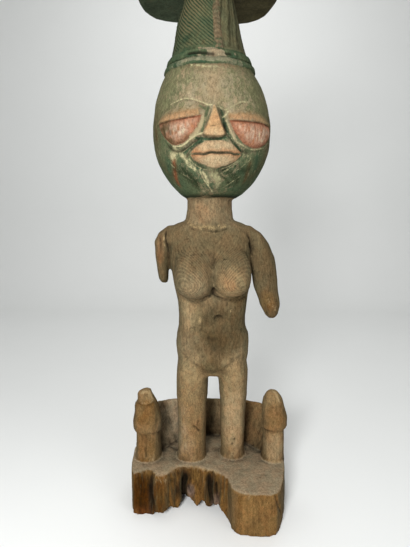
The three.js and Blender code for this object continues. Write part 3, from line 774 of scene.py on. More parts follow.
# Worn paint on the face, laid out flat as its forms are: a line or a spot, its reach and its cover.
facePaint = [
    {"line": [(5, 850), (5, 824)], "wide": 24, "tint": "blush", "cover": 0.7},
    {"line": [(-100, 788), (-60, 791), (-24, 793)], "wide": 10, "tint": "lidTan", "cover": 0.8},
    {"line": [(36, 786), (80, 789), (128, 786)], "wide": 9, "tint": "lidTan", "cover": 0.85},
    {"line": [(-100, 784), (-60, 785), (-28, 787)], "wide": 6, "tint": "peach", "cover": 0.7},
    {"line": [(40, 782), (80, 783), (126, 782)], "wide": 5, "tint": "peach", "cover": 0.65},
    {"line": [(-100, 832), (-110, 798)], "wide": 26, "tint": "olive", "cover": 0.7},
    {"line": [(90, 850), (112, 808), (130, 778)], "wide": 30, "tint": "olive", "cover": 0.7},
    {"line": [(-130, 798), (-130, 738), (-112, 698)], "wide": 22, "tint": "oldBrown", "cover": 0.55},
    {"line": [(150, 788), (146, 738), (120, 698)], "wide": 22, "tint": "oldBrown", "cover": 0.6},
    {"line": [(-118, 728), (-92, 714), (-70, 690), (-40, 668)], "wide": 17, "tint": "moss", "cover": 0.8},
    {"line": [(120, 724), (92, 702), (60, 684), (34, 668)], "wide": 19, "tint": "moss", "cover": 0.85},
    {"line": [(-64, 698), (-50, 686), (-38, 674)], "wide": 8, "tint": "pine", "cover": 0.9},
    {"line": [(-46, 704), (-20, 698)], "wide": 5, "tint": "teal", "cover": 0.9},
    {"line": [(30, 698), (52, 690), (76, 680)], "wide": 9, "tint": "pine", "cover": 0.8},
    {"line": [(40, 710), (66, 698), (92, 690)], "wide": 6, "tint": "teal", "cover": 0.7},
    {"line": [(-30, 750), (-10, 748), (8, 746), (28, 750)], "wide": 3.6, "tint": "teal", "cover": 0.85},
    {"line": [(-16, 744), (-34, 738), (-52, 726)], "wide": 5, "tint": "teal", "cover": 0.85},
    {"line": [(26, 774), (32, 758), (44, 742), (60, 730)], "wide": 3.6, "tint": "teal", "cover": 0.85},
    {"line": [(19, 798), (22, 786), (25, 768)], "wide": 3.6, "tint": "teal", "cover": 0.85},
    {"line": [(-4, 800), (-8, 788), (-12, 772), (-14, 760)], "wide": 3.6, "tint": "moss", "cover": 0.9},
    {"line": [(-18, 804), (-10, 798)], "wide": 3.4, "tint": "moss", "cover": 0.8},
    {"line": [(30, 836), (48, 820), (70, 816)], "wide": 9, "tint": "moss", "cover": 0.45},
    {"line": [(-60, 836), (-80, 826)], "wide": 9, "tint": "moss", "cover": 0.35},
    {"line": [(-83, 717), (-88, 701), (-97, 690), (-104, 678)], "wide": 6, "tint": "redBrown", "cover": 0.85},
    {"line": [(91, 710), (94, 696), (101, 682)], "wide": 6, "tint": "oldBrown", "cover": 0.8},
    {"line": [(-130, 774), (-126, 762)], "wide": 5, "tint": "oldBrown", "cover": 0.8},
    {"line": [(-88, 704), (-66, 686), (-44, 672)], "wide": 6, "tint": "pine", "cover": 0.7},
    {"line": [(48, 710), (70, 698), (96, 702)], "wide": 6, "tint": "pine", "cover": 0.7},
    {"line": [(18, 692), (38, 682), (58, 672)], "wide": 4, "tint": "pine", "cover": 0.7},
    {"line": [(-100, 716), (-112, 700)], "wide": 8, "tint": "teal", "cover": 0.8},
    {"line": [(106, 724), (118, 704)], "wide": 8, "tint": "teal", "cover": 0.8},
]
faceWorn = [
    {"line": [(-80, 813), (-57, 818), (-47, 819), (-37, 817), (-25, 814), (-13, 809), (-4, 805), (3, 805)],
     "wide": 1.5, "tint": "cream", "cover": 0.66},
    {"line": [(14, 802), (26, 797), (40, 804), (49, 809), (58, 813), (74, 815)],
     "wide": 2.2, "tint": "cream", "cover": 0.5},
    {"line": [(22, 784), (27, 788), (31, 794)], "wide": 2.2, "tint": "cream", "cover": 0.6},
    {"line": [(-74, 739), (-58, 738), (-47, 741), (-37, 748)], "wide": 1.9, "tint": "cream", "cover": 0.75},
    {"line": [(-34, 750), (-26, 758), (-18, 770), (-12, 782)], "wide": 5.0, "tint": "stone", "cover": 0.8},
    {"line": [(28, 778), (35, 762), (47, 745), (60, 739), (80, 734), (100, 736)],
     "wide": 1.9, "tint": "cream", "cover": 0.55},
    {"line": [(100, 736), (122, 742), (138, 756)], "wide": 2.2, "tint": "paleGreen", "cover": 0.6},
    {"line": [(-12, 758), (-24, 754), (-40, 746)], "wide": 1.6, "tint": "cream", "cover": 0.8},
    {"line": [(-30, 742), (-46, 733), (-60, 726)], "wide": 1.6, "tint": "cream", "cover": 0.7},
    {"line": [(-62, 730), (-54, 718), (-46, 708), (-36, 700)], "wide": 6.5, "tint": "cream", "cover": 0.62},
    {"line": [(-72, 733), (-84, 722)], "wide": 9, "tint": "cream", "cover": 0.72},
    {"line": [(70, 726), (84, 722)], "wide": 6, "tint": "cream", "cover": 0.4},
    {"line": [(-44, 716), (-32, 705), (-16, 698), (6, 696)], "wide": 1.6, "tint": "cream", "cover": 0.6},
    {"line": [(24, 698), (42, 704), (58, 713)], "wide": 1.5, "tint": "cream", "cover": 0.55},
    {"line": [(30, 758), (40, 748), (44, 740)], "wide": 1.6, "tint": "cream", "cover": 0.5},
    {"line": [(-24, 697), (-22, 688), (-15, 678), (-6, 670), (6, 661)], "wide": 1.9, "tint": "cream", "cover": 0.7},
    {"line": [(-17, 692), (-10, 682), (-7, 676)], "wide": 4.0, "tint": "cream", "cover": 0.75},
    {"line": [(0, 694), (14, 684), (20, 674)], "wide": 10, "tint": "paleGreen", "cover": 0.6},
    {"line": [(64, 714), (44, 701), (24, 691)], "wide": 1.6, "tint": "paleGreen", "cover": 0.5},
    {"line": [(92, 720), (72, 704), (48, 690)], "wide": 1.5, "tint": "paleGreen", "cover": 0.4},
    {"line": [(-96, 712), (-78, 696), (-52, 682)], "wide": 1.4, "tint": "paleGreen", "cover": 0.4},
    {"line": [(80, 690), (60, 678), (40, 668)], "wide": 1.6, "tint": "paleGreen", "cover": 0.5},
    {"line": [(-42, 880), (-10, 874), (16, 873)], "wide": 3.2, "tint": "cream", "cover": 0.5},
    {"line": [(20, 872), (42, 868)], "wide": 2.6, "tint": "cream", "cover": 0.35},
]
hairPaint = {
    "stripTint": "stripTan", "ridgeTint": "dryWood", "tanFrom": (930, 1000),
}
bodyWorn = [
    {"line": [(-47, -24, 606), (-38, -39, 598), (-20, -44, 594), (5, -45, 593), (28, -41, 597)],
     "wide": 6, "tint": "straw", "cover": 0.5},
    {"line": [(-30, -43, 588), (-10, -45, 584), (12, -45, 583)], "wide": 1.6, "tint": "rawWood", "cover": 0.6},
    {"line": [(-97, -25, 585), (-96, -27, 566), (-95, -24, 548)], "wide": 2.6, "tint": "rawWood", "cover": 0.55},
    {"line": [(88, -30, 558), (90, -30, 545)], "wide": 3.5, "tint": "rawWood", "cover": 0.3},
    {"line": [(110, -56, 452), (120, -57, 444), (128, -54, 430)], "wide": 6, "tint": "rawWood", "cover": 0.4},
    {"line": [(-72, -12, 345), (-63, -31, 335), (-50, -42, 325)], "wide": 2.4, "tint": "rawWood", "cover": 0.35},
    {"line": [(39, -43, 422), (42, -42, 428)], "wide": 4, "tint": "rawWood", "cover": 0.45},
    {"line": [(-19, -47, 404), (-20, -47, 409)], "wide": 3, "tint": "rawWood", "cover": 0.6},
    {"line": [(-9, -48, 416), (-10, -48, 412)], "wide": 3, "tint": "rawWood", "cover": 0.35},
    {"line": [(-66, -30, 100), (-48, -32, 94), (-24, -30, 94)], "wide": 5, "tint": "rawWood", "cover": 0.35},
    {"line": [(26, -14, 104), (46, -17, 98), (66, -8, 104)], "wide": 6, "tint": "rawWood", "cover": 0.45},
    {"line": [(-66, -40, 300), (-64, -36, 260)], "wide": 4, "tint": "rawWood", "cover": 0.25},
    {"line": [(24, -40, 290), (26, -32, 230), (26, -20, 170)], "wide": 3.5, "tint": "rawWood", "cover": 0.3},
    {"line": [(-148, -10, 238), (-134, -8, 236), (-128, -12, 222)], "wide": 6, "tint": "rawWood", "cover": 0.85},
    {"line": [(-150, -16, 217), (-136, -18, 215)], "wide": 3, "tint": "rawWood", "cover": 0.6},
    {"line": [(134, -6, 241), (142, -12, 234), (143, -18, 225)], "wide": 3.6, "tint": "rawWood", "cover": 0.95},
    {"line": [(-123, -27, 114), (-121, -27, 101), (-125, -30, 93)], "wide": 3.0, "tint": "rawWood", "cover": 0.85},
    {"line": [(122, -20, 112), (130, -24, 96), (147, -26, 90), (154, -18, 97)],
     "wide": 3.2, "tint": "rawWood", "cover": 0.8},
    {"line": [(128, -26, 140), (124, -24, 118)], "wide": 3, "tint": "rawWood", "cover": 0.4},
    {"line": [(-118, -64, 90), (-104, -60, 90), (-90, -62, 89)], "wide": 6, "tint": "rawWood", "cover": 0.55},
    {"line": [(-118, -72, 74), (-104, -77, 78), (-92, -72, 76)], "wide": 5, "tint": "rawWood", "cover": 0.5},
    {"line": [(-84, -58, 88), (-68, -45, 88), (-40, -41, 88), (-9, -50, 86), (16, -61, 87)],
     "wide": 4, "tint": "rawWood", "cover": 0.4},
    {"line": [(97, -66, 89), (112, -68, 89), (126, -69, 89)], "wide": 1.6, "tint": "rawWood", "cover": 0.7},
    {"line": [(93, -79, 89), (103, -74, 89), (112, -60, 89)], "wide": 1.4, "tint": "rawWood", "cover": 0.6},
]
# Painted shade along the body's creases, cracks and gaps, as under the breasts, beside the right arm and round the
# crotch: a line, its half width and how dark it is.
bodyCreaseShade = [
    {"line": [(74, -32, 580), (78, -26, 562), (81, -13, 545), (84, -3, 524)], "wide": 3, "deep": 1.0},
    {"line": [(-92, -25, 588), (-92, -24, 574), (-91, -21, 560), (-88, -14, 545), (-89, -9, 526)],
     "wide": 2.2, "deep": 1.2},
    {"line": [(-104, -24, 574), (-103, -26, 563), (-102, -26, 549)], "wide": 2.2, "deep": 0.8},
    {"line": [(-5, -54, 363), (7, -55, 354), (23, -54, 355)], "wide": 7, "deep": 0.35},
    {"line": [(-125, -60, 60), (-121, -74, 40), (-117, -80, 22)], "wide": 4, "deep": 0.9},
    {"line": [(7, -48, 411), (12, -51, 417), (21, -47, 414)], "wide": 2.4, "deep": 0.8},
    {"line": [(-38, -28, 170), (-30, -27, 166), (-24, -23, 158)], "wide": 2.4, "deep": 0.8},
    {"line": [(52, -15, 137), (50, -15, 133)], "wide": 2.4, "deep": 0.7},
    {"line": [(47, -15, 126), (45, -15, 122)], "wide": 2.2, "deep": 0.6},
    {"line": [(104, -53, 452), (106, -54, 434)], "wide": 2.6, "deep": 0.6},
    {"line": [(121, -56, 448), (122, -54, 442)], "wide": 2.2, "deep": 0.7},
    {"line": [(-66, -26, 456), (-57, -36, 450), (-44, -42, 445), (-32, -46, 443), (-21, -48, 445), (-1, -51, 458)],
     "wide": 2.6, "deep": 0.8},
    {"line": [(7, -51, 459), (16, -50, 454), (30, -48, 449), (47, -42, 446), (62, -34, 446), (71, -23, 451)],
     "wide": 2.6, "deep": 0.8},
    {"line": [(4, -52, 470), (3, -51, 460)], "wide": 3.5, "deep": 0.7},
    {"line": [(-60, -40, 568), (-34, -50, 572), (-6, -53, 570), (30, -53, 571)], "wide": 1.6, "deep": 0.28},
    {"line": [(-62, -50, 538), (-48, -56, 534), (-30, -60, 541), (-11, -58, 541)], "wide": 1.8, "deep": 0.4},
    {"line": [(20, -56, 542), (34, -62, 545), (54, -60, 542), (70, -50, 538)], "wide": 1.8, "deep": 0.4},
    {"line": [(22, -62, 531), (36, -66, 533), (52, -64, 530)], "wide": 1.8, "deep": 0.35},
    {"line": [(-6, -50, 372), (6, -52, 366), (18, -51, 370)], "wide": 4, "deep": 0.35},
    {"line": [(-4, -52, 352), (6, -53, 349), (16, -52, 353)], "wide": 4, "deep": 0.4},
    {"line": [(84, -10, 530), (84.5, -12, 512), (84.5, -12, 490), (84.5, -12, 464)], "wide": 7, "deep": 0.8},
    {"line": [(126, -126, 84), (129, -125, 70), (134, -118, 56), (141, -101, 26)], "wide": 1.8, "deep": 0.8},
    {"line": [(-156, -14, 246), (-155, -18, 234), (-156, -16, 222)], "wide": 5, "deep": 0.6},
    {"line": [(138, -18, 249), (141, -14, 246)], "wide": 3, "deep": 0.8},
    {"line": [(-20, -40, 294), (-8, -46, 300), (8, -48, 302), (22, -46, 300), (32, -40, 294)], "wide": 7, "deep": 0.5},
    {"line": [(-24, -38, 290), (-23, -34, 262), (-23, -30, 236)], "wide": 4, "deep": 0.35},
]


def tintOf(name):
    # The named colour as the shader wants it.
    share = np.array(tints[name]) / 255
    return depth * np.where(share > 0.04045, ((share + 0.055) / 1.055) ** 2.4, share / 12.92)


def lay(colours, cover, tint, mask):
    # Lays one more colour over those already there.
    share = np.clip(mask, 0, 1)[:, None]
    colours += share * (tintOf(tint) - colours)
    np.maximum(cover, mask, out=cover)


def layLines(spots, rows, colours, cover):
    for row in rows:
        line = curved(row["line"], 3)
        reach = row["wide"] * 2.2
        near = np.all((spots > line.min(0) - reach) & (spots < line.max(0) + reach), axis=1)
        mask = np.zeros(len(spots))
        mask[near] = row["cover"] * bell(lineDistance(spots[near], line)[0], row["wide"])
        lay(colours, cover, row["tint"], mask)


def bareColours(points):
    heights = [row[0] for row in bareBands]
    rows = np.array([tintOf(row[1]) for row in bareBands])
    z = points[:, 2] + 9 * noise(points, 30, 31)
    colours = np.stack([np.interp(z, heights, rows[:, i]) for i in range(3)], 1)
    uneven = 0.25 * noise(points, 14, 32)
    for patch in barePatches:
        gap = np.linalg.norm((points - patch["at"]) / patch["reach"], axis=1)
        share = np.clip(patch["share"] * ramp(1.25 - gap + uneven, 0, 0.7), 0, 1)[:, None]
        colours += share * (tintOf(patch["tint"]) - colours)
    return colours * (1 + 0.10 * noise(points, 20, 33) + 0.07 * noise(points, 7, 34))[:, None]


def paintHead(points, coat, cover, worn, bare, shadeAndDirt):
    zone = points[:, 2] > head["paintFrom"]
    spots = points[zone]
    z = spots[:, 2]
    hairZ = hairHeight(points)[zone]
    across = toShell(spots, head["sections"], z)[0] * head["radius"]
    flat = np.stack([across, z], 1)
    blotch = noise(spots, 17, 41)
    fleck = noise(spots, 7, 42)
    colours = np.tile(tintOf("moss"), (len(spots), 1))
    brow = ramp(z, 780, 815)[:, None]
    colours += brow * (tintOf("olive") - colours)
    chin = 1 - ramp(z, 690, 740)
    shade = np.clip(0.5 * chin + 0.5 * noise(spots, (13, 13, 22), 44), 0, 1)[:, None]
    colours += shade * (1 - brow) * (tintOf("teal") - colours)
    side = ramp(np.abs(across - 5), 30, 110)
    amount = np.clip(0.42 + 0.38 * side + 0.20 * blotch + 0.14 * fleck, 0, 0.95)
    amount = amount + 0.22 * chin
    layLines(flat, facePaint, colours, amount)
    bareHere = bare[zone]
    skinCover = np.zeros(len(spots))
    wornHere = np.tile(tintOf("cream"), (len(spots), 1))
    wornCover = np.clip(0.22 * fleck + 0.16 * blotch, 0, 0.3)
    for eye in eyes:
        lid, lower = curved(eye["lid"], 2), curved(eye["lower"], 2)
        inside = edgeDistance(flat, np.vstack([lower, lid[::-1][1:-1]]))
        ball = ramp(inside, -1.2, 0.8)
        streaks = 0.8 * noise(spots, (4, 4, 8), 43) + 0.6 * noise(spots, (2.4, 2.4, 4), 45)
        centre = ramp(inside, 3, 15) * np.clip(0.5 + 0.8 * streaks, 0, 1)
        lay(bareHere, skinCover, "salmon", ball)
        # A lighter rose centre and cream streaks on each eye: painted glossy highlight on the salmon paint.
        lay(bareHere, skinCover, "roseHighlight", ball * centre * 0.9)
        lay(bareHere, skinCover, "cream", ball * ramp(inside, 5, 15) * ramp(streaks, 0.45, 0.8) * 0.55)
        lay(bareHere, skinCover, "rust", ball * ramp(-streaks, 0.3, 0.8) * 0.55)
        amount *= 1 - ball
        wornCover *= 1 - 0.8 * ball
        atLid = ramp(z - np.interp(across, lid[:, 0], lid[:, 1]), -0.4, 0.6)
        near = bell(inside - 1.5, 2.5) * ball * (1 - atLid)
        lay(bareHere, skinCover, "redBrown", near * 0.35)
        # A thin dark red-brown line along each lid: painted shade of the lid's edge, on red-brown paint.
        lay(bareHere, skinCover, "redBrown", 0.8 * bell(z - np.interp(across, lid[:, 0], lid[:, 1]) + 1, 1.6) * ball)
    west = ramp(-across, 54, 80) * ramp(edgeDistance(flat, np.array(eyes[0]["lower"], float)), -1, 2)
    lay(bareHere, skinCover, "oldBrown", west * np.clip(0.7 + 0.5 * fleck, 0, 1))
    low = bell(lineDistance(flat, np.array(eyes[0]["lower"][2:8], float))[0], 8)
    lay(bareHere, skinCover, "oldBrown", 0.5 * low * ramp(edgeDistance(flat, np.array(eyes[0]["lower"], float)), -1, 1))
    bridge = ramp(edgeDistance(flat, np.array(nose["outline"], float)), 1.5, 4.5)
    lay(bareHere, skinCover, "amber", bridge)
    # A paler honey tone on the lower nose and the lower lip: painted highlight on their tan paint.
    lay(bareHere, skinCover, "honeyHighlight", bridge * (1 - ramp(z, 754, 768)) * 0.6)
    for name, tint in (("upper", "lipTan"), ("lower", "honeyHighlight")):
        border, mouth = curved(lips[name], 2), curved(lips["mouth"], 2)
        inside = ramp(edgeDistance(flat, np.vstack([border, mouth[::-1][1:-1]])), 0, 3)
        lay(bareHere, skinCover, tint, inside * 0.9)
        lay(bareHere, skinCover, "rust", inside * 0.75 * bell(lineDistance(flat, mouth)[0], 5))
        corners = ramp(np.abs(across - 12), 22, 46)
        lay(bareHere, skinCover, "rust", inside * 0.5 * corners)
        bridge = np.maximum(bridge, inside)
    amount *= 1 - 0.92 * bridge
    wornCover *= 1 - 0.85 * bridge
    layLines(flat, faceWorn, wornHere, wornCover)
    isHair = hairZ > hair["line"]
    paintHair(spots, hairZ, isHair, colours, amount, wornHere, wornCover, bareHere)
    sink = cut(flat, faceCuts)
    grooves = np.clip(-hairRelief(toShell(spots, hair["sections"], hairZ)[0], hairZ) / 2.2, 0, 1)
    onCone = isHair & (spots[:, 2] < hair["fade"][1])
    relief = hairRelief(toShell(spots, hair["sections"], hairZ)[0], hairZ)
    notched = np.clip((hair["stripProud"] - relief) / hair["notchDepth"], 0, 1) * (relief > 0.2)
    grooves = np.maximum(grooves, notched)
    # Painted shade in the face's cuts and the hair's grooves and notches, and a painted shadow band under the chin.
    shadeAndDirtHere = np.where(onCone, 0.35 * grooves, np.clip(sink / 3.2, 0, 1) * ~isHair)
    shadeAndDirtHere += np.where(isHair, np.clip(cut(spots, hairCuts) / 3, 0, 0.9), 0)
    shadeAndDirtHere = np.maximum(shadeAndDirtHere, 0.9 * (1 - ramp(z, head["paintFrom"], 660)))
    coat[zone], cover[zone], bare[zone] = colours, np.clip(amount, 0, 1), bareHere
    worn[0][zone], worn[1][zone] = wornHere, wornCover
    shadeAndDirt[zone] = np.maximum(shadeAndDirt[zone], shadeAndDirtHere)


def paintHair(spots, z, isHair, colours, amount, wornHere, wornCover, bareHere):
    angle = toShell(spots, hair["sections"], z)[0]
    strip = math.radians(hair["stripAngle"])
    relief = hairRelief(angle, z)
    blotch = noise(spots, 13, 51)
    tall = isHair & (z > 911)
    tone = np.clip(0.5 + 0.7 * blotch, 0, 1)[:, None]
    green = tintOf("moss") * (1 - tone) + tintOf("teal") * tone
    colours[isHair] = green[isHair]
    green = green * (1 + 0.5 * ramp(z, 960, 920))[:, None]
    browner = 0.4 * ramp(angle, strip, strip + 0.12)[:, None]
    colours[tall] += (browner * (1.15 * tintOf("stripTan") - colours))[tall]
    amount[isHair] = (0.84 + 0.14 * blotch)[isHair]
    onStrip = tall & (np.abs(angle - strip) < 0.115)
    fresh = ramp(z, 926, 940) * (1 - ramp(z, 975, 1000))
    amount[onStrip] = (0.35 - 0.25 * fresh + 0.5 * noise(spots, 6, 52))[onStrip]
    bareHere[onStrip] = tintOf(hairPaint["stripTint"])
    bandB = isHair & (z <= 911) & (z > 893)
    bandA = isHair & (z <= 893)
    ragged = 0.28 * noise(spots, 11, 53)
    nearStrip = ramp(angle + ragged, -0.12, 0.06) * (1 - ramp(angle + ragged, 0.3, 0.42))
    tanA = ramp(angle + ragged, -1.15, -0.35) * (1 - ramp(angle + ragged, 0.6, 0.95))
    amount[bandB] = (0.88 - 0.85 * nearStrip + 0.12 * blotch)[bandB]
    amount[bandA] = (0.92 - 0.72 * tanA + 0.2 * blotch)[bandA]
    bareHere[bandB] = tintOf("bandTan")
    bareHere[bandA] = tintOf("bandGrey")
    hairline = isHair & (z < 883)
    amount[hairline] = np.maximum(amount, 0.85 * bell(angle + 0.1, 0.4) + 0.3)[hairline]
    wornCover[isHair] = np.clip(0.10 * blotch, 0, 1)[isHair]
    capital = z > hair["top"] - 6
    right = ramp(spots[:, 0], -60, 60)[:, None]
    shade = tintOf("capTeal") * (1 - right) + tintOf("capOlive") * right
    brushed = 1 + 0.35 * noise(spots, (50, 10, 10), 54)[:, None]
    colours[capital] = (shade * brushed)[capital]
    under = ramp(hair["top"] + 80 - spots[:, 2], 6, 20)
    amount[capital] = (0.25 + 0.6 * under + 0.2 * blotch)[capital]
    # Below its top edge the capital's bare wood is darker: painted shade on its underside and sides.
    bareHere[capital] = (tintOf("greyWood") * (1 - 0.45 * under)[:, None])[capital]


def combHair(points):
    # Where the combed strands run: the way round and the height, their share and how far the paint is rubbed.
    z = hairHeight(points)
    angle = toShell(points, hair["sections"], np.clip(z, hair["line"], hair["top"]))[0]
    strip = math.radians(hair["stripAngle"])
    place = np.stack([np.sin(angle), np.cos(angle), z / 1000], 1)
    share = ramp(z, 911, 919) * (1 - ramp(z, hair["top"] - 9, hair["top"] - 4))
    share *= ramp(np.abs(angle - strip), 0.09, 0.13)
    rub = 0.25 + 0.75 * ramp(z, *hairPaint["tanFrom"]) * ramp(strip - angle, 0.05, 0.7)
    rub *= 1 - 0.5 * ramp(angle, strip, strip + 0.05)
    return place, share, np.clip(rub + 0.35 * noise(points, 18, 55), 0, 1)


def hollows(points, normals, edges):
    # How far each point lies below the surface round it, near and wide.
    near = ((neighbourMean(points, edges) - points) * normals).sum(1)
    wide = near.copy()
    for i in range(6):
        wide = neighbourMean(wide, edges)
    return near, wide


def paintPost(mesh):
    points = readPoints(mesh)
    normals = readNormals(mesh)
    edges = readEdges(mesh)
    count = len(points)
    bare = bareColours(points)
    coat = np.tile(tintOf("moss"), (count, 1))
    cover = np.zeros(count)
    worn = [np.tile(tintOf("rawWood"), (count, 1)), np.zeros(count)]
    near, wide = hollows(points, normals, edges)
    # Darker in the hollows, near and wide: painted shade, with some dust.
    shadeAndDirt = np.clip(near / 0.9, 0, 1) * 0.5 + np.clip(wide / 0.35, 0, 1) * 0.5
    lower = points[:, 2] < head["low"][1]
    spots = points[lower]
    wornTint, wornCover = worn[0][lower], worn[1][lower]
    layLines(spots, bodyWorn, wornTint, wornCover)
    worn[0][lower], worn[1][lower] = wornTint, wornCover
    # Painted shade along the body's creases and cracks, and lightly in its cuts.
    shadeAndDirt[lower] += cut(spots, bodyCreaseShade) + 0.15 * cut(spots, bodyCuts + footCuts + figureCuts)
    # Faces turned to the left and right, below the shoulders, go a drab grey-brown: painted shade where the light falls
    # away.
    side = 0.5 * ramp(np.abs(normals[:, 0]), 0.5, 0.9) * (1 - ramp(points[:, 2], 560, 600))
    bare += side[:, None] * (tintOf("sideShade") - bare)
    striped = 0.3 * noise(points, (3, 3, 60), 35) * (1 - ramp(points[:, 2], 84, 90)) * ramp(-points[:, 1], 20, 40)
    bare *= (1 + striped * (1 - 0.7 * ramp(points[:, 0], 30, 50)))[:, None]
    # Faces turned up on the base's top are made lighter: painted light from above.
    top = 0.9 * ramp(normals[:, 2], 0.45, 0.85) * ramp(points[:, 2], 66, 78) * (1 - ramp(points[:, 2], 96, 112))
    bare += top[:, None] * (tintOf("litTopWood") * (1 + 0.12 * noise(points, 16, 36))[:, None] - bare)
    grain = 1 - 0.65 * ramp(points[:, 2], head["low"][0], head["low"][1]) * (1 - ramp(points[:, 2], *hair["fade"]))
    grain *= 1 - 0.7 * top
    paintHead(points, coat, cover, worn, bare, shadeAndDirt)
    for name, values in (("bareTint", bare), ("coatTint", coat), ("wornTint", worn[0])):
        layer = mesh.attributes.new(name, "FLOAT_COLOR", "POINT")
        layer.data.foreach_set("color", np.column_stack([values, np.ones(count)]).ravel())
    hairPlace, strands, rub = combHair(points)
    mesh.attributes.new("hairPlace", "FLOAT_VECTOR", "POINT").data.foreach_set("vector", hairPlace.ravel())
    for name, values in (("coatCover", cover), ("wornCover", worn[1]), ("shadeAndDirt", shadeAndDirt), ("grainShare", grain),
                         ("strandShare", strands), ("rubShare", rub)):
        layer = mesh.attributes.new(name, "FLOAT", "POINT")
        layer.data.foreach_set("value", np.clip(values, 0, 1))


# How strongly each effect shows, and its size in millimetres.
finish = {
    "fibre": 1.6, "fibreLong": 40, "lean": 0.05, "sway": 0.012, "ringPitch": 2.9, "ringWander": 7, "ringElsewhere": 0.2, "speckle": 1.7,
    "flake": 5, "flakeFine": 1.8, "bump": 0.0009, "rough": 0.86, "shine": 0.04,
    "paintSoft": 0.8, "wornSoft": 0.7, "strandWander": 1.6, "strandGrooveShade": 0.7, "strandDeep": 1.1, "rub": 0.85,
}


def newGroup(name, inputs, outputs):
    group = bpy.data.node_groups.new(name, "ShaderNodeTree")
    for label, kind, value in inputs:
        socket = group.interface.new_socket(label, in_out="INPUT", socket_type="NodeSocket" + kind)
        if value is not None:
            socket.default_value = value
    for label, kind in outputs:
        group.interface.new_socket(label, in_out="OUTPUT", socket_type="NodeSocket" + kind)
    return group, group.nodes.new("NodeGroupInput").outputs, group.nodes.new("NodeGroupOutput").inputs


def mathNode(tree, operation, *values, clamp=False):
    made = tree.nodes.new("ShaderNodeMath")
    made.operation = operation
    made.use_clamp = clamp
    for socket, value in zip(made.inputs, values):
        if isinstance(value, bpy.types.NodeSocket):
            tree.links.new(value, socket)
        else:
            socket.default_value = value
    return made.outputs[0]


def noiseNode(tree, vector, size, detail=3.0, rough=0.55, warp=0.0, turn=0.0):
    # Noise whose lumps are about this many millimetres across, or long in one direction.
    sizes = size if isinstance(size, tuple) else (size, size, size)
    if turn:
        vector = place(tree, "VectorRotate", {"Vector": vector, "Angle": turn}, rotation_type="Z_AXIS").outputs["Vector"]
    mapped = place(tree, "Mapping", {"Vector": vector, "Scale": tuple(1000 / each for each in sizes)})
    return place(tree, "TexNoise", {
        "Vector": mapped.outputs["Vector"], "Scale": 1.0, "Detail": detail, "Roughness": rough, "Distortion": warp,
    }).outputs["Fac"]


def rangeNode(tree, value, low, high, toLow=0.0, toHigh=1.0):
    return place(tree, "MapRange", {
        "Value": value, "From Min": low, "From Max": high, "To Min": toLow, "To Max": toHigh,
    }, interpolation_type="SMOOTHSTEP").outputs["Result"]


def mixColour(tree, factor, one, two, blend="MIX"):
    made = tree.nodes.new("ShaderNodeMix")
    made.data_type = "RGBA"
    made.blend_type = blend
    for name, value in (("Factor_Float", factor), ("A_Color", one), ("B_Color", two)):
        socket = next(s for s in made.inputs if s.identifier == name)
        if isinstance(value, bpy.types.NodeSocket):
            tree.links.new(value, socket)
        else:
            socket.default_value = value
    return next(s for s in made.outputs if s.identifier == "Result_Color")


def makeGrain():
    # Fibres up the log, growth rings round its heart, and a fine dry speckle.
    group, given, out = newGroup("logGrain", [("Vector", "Vector", None)], [
        ("Fibre", "Float"), ("Rings", "Float"), ("Speckle", "Float"),
    ])
    # The whole pattern leans a little and wavers, as a log's own fibres do.
    leaning = place(group, "VectorRotate", {
        "Vector": given["Vector"], "Axis": (0.6, 0.8, 0.0), "Angle": finish["lean"],
    }).outputs["Vector"]
    sway = place(group, "TexNoise", {"Vector": given["Vector"], "Scale": 22.0, "Detail": 2.0}).outputs["Color"]
    away = place(group, "VectorMath", {0: sway, 1: (0.5, 0.5, 0.5)}, operation="SUBTRACT").outputs["Vector"]
    vector = place(group, "VectorMath", {
        0: away, 1: (finish["sway"], finish["sway"], finish["sway"]), 2: leaning,
    }, operation="MULTIPLY_ADD").outputs["Vector"]
    long = finish["fibreLong"]
    thin = noiseNode(group, vector, (finish["fibre"], finish["fibre"], long), 3.0, 0.6, turn=0.62)
    middle = noiseNode(group, vector, (3.6, 3.6, 1.6 * long), 2.0, 0.6, turn=1.25)
    broad = noiseNode(group, vector, (9, 9, 3 * long), 2.0, turn=0.31)
    mixed = mathNode(group, "MULTIPLY_ADD", middle, 0.34, mathNode(group, "MULTIPLY", thin, 0.36))
    group.links.new(mathNode(group, "MULTIPLY_ADD", broad, 0.30, mixed), out["Fibre"])
    parts = place(group, "SeparateXYZ", {"Vector": given["Vector"]}).outputs
    fromHeart = mathNode(group, "SUBTRACT", parts["X"], post["axisX"] / 1000)
    squares = mathNode(group, "ADD", mathNode(group, "MULTIPLY", fromHeart, fromHeart),
                       mathNode(group, "MULTIPLY", parts["Y"], parts["Y"]))
    wander = mathNode(group, "MULTIPLY", noiseNode(group, vector, (60, 60, 200), 2.0), finish["ringWander"] / 1000)
    radius = mathNode(group, "ADD", mathNode(group, "SQRT", squares), wander)
    wave = mathNode(group, "SINE", mathNode(group, "MULTIPLY", radius, 2 * math.pi * 1000 / finish["ringPitch"]))
    chest = mathNode(group, "MULTIPLY", rangeNode(group, parts["Z"], 0.42, 0.46),
                     rangeNode(group, parts["Z"], 0.53, 0.58, 1.0, 0.0))
    shown = mathNode(group, "MULTIPLY_ADD", chest, 1 - finish["ringElsewhere"], finish["ringElsewhere"])
    rings = mathNode(group, "MULTIPLY_ADD", rangeNode(group, wave, -0.6, 1.0, -0.5, 0.5), shown, 0.5)
    group.links.new(rings, out["Rings"])
    group.links.new(noiseNode(group, vector, finish["speckle"], 2.0, 0.7, 0.6, 0.5), out["Speckle"])
    return group


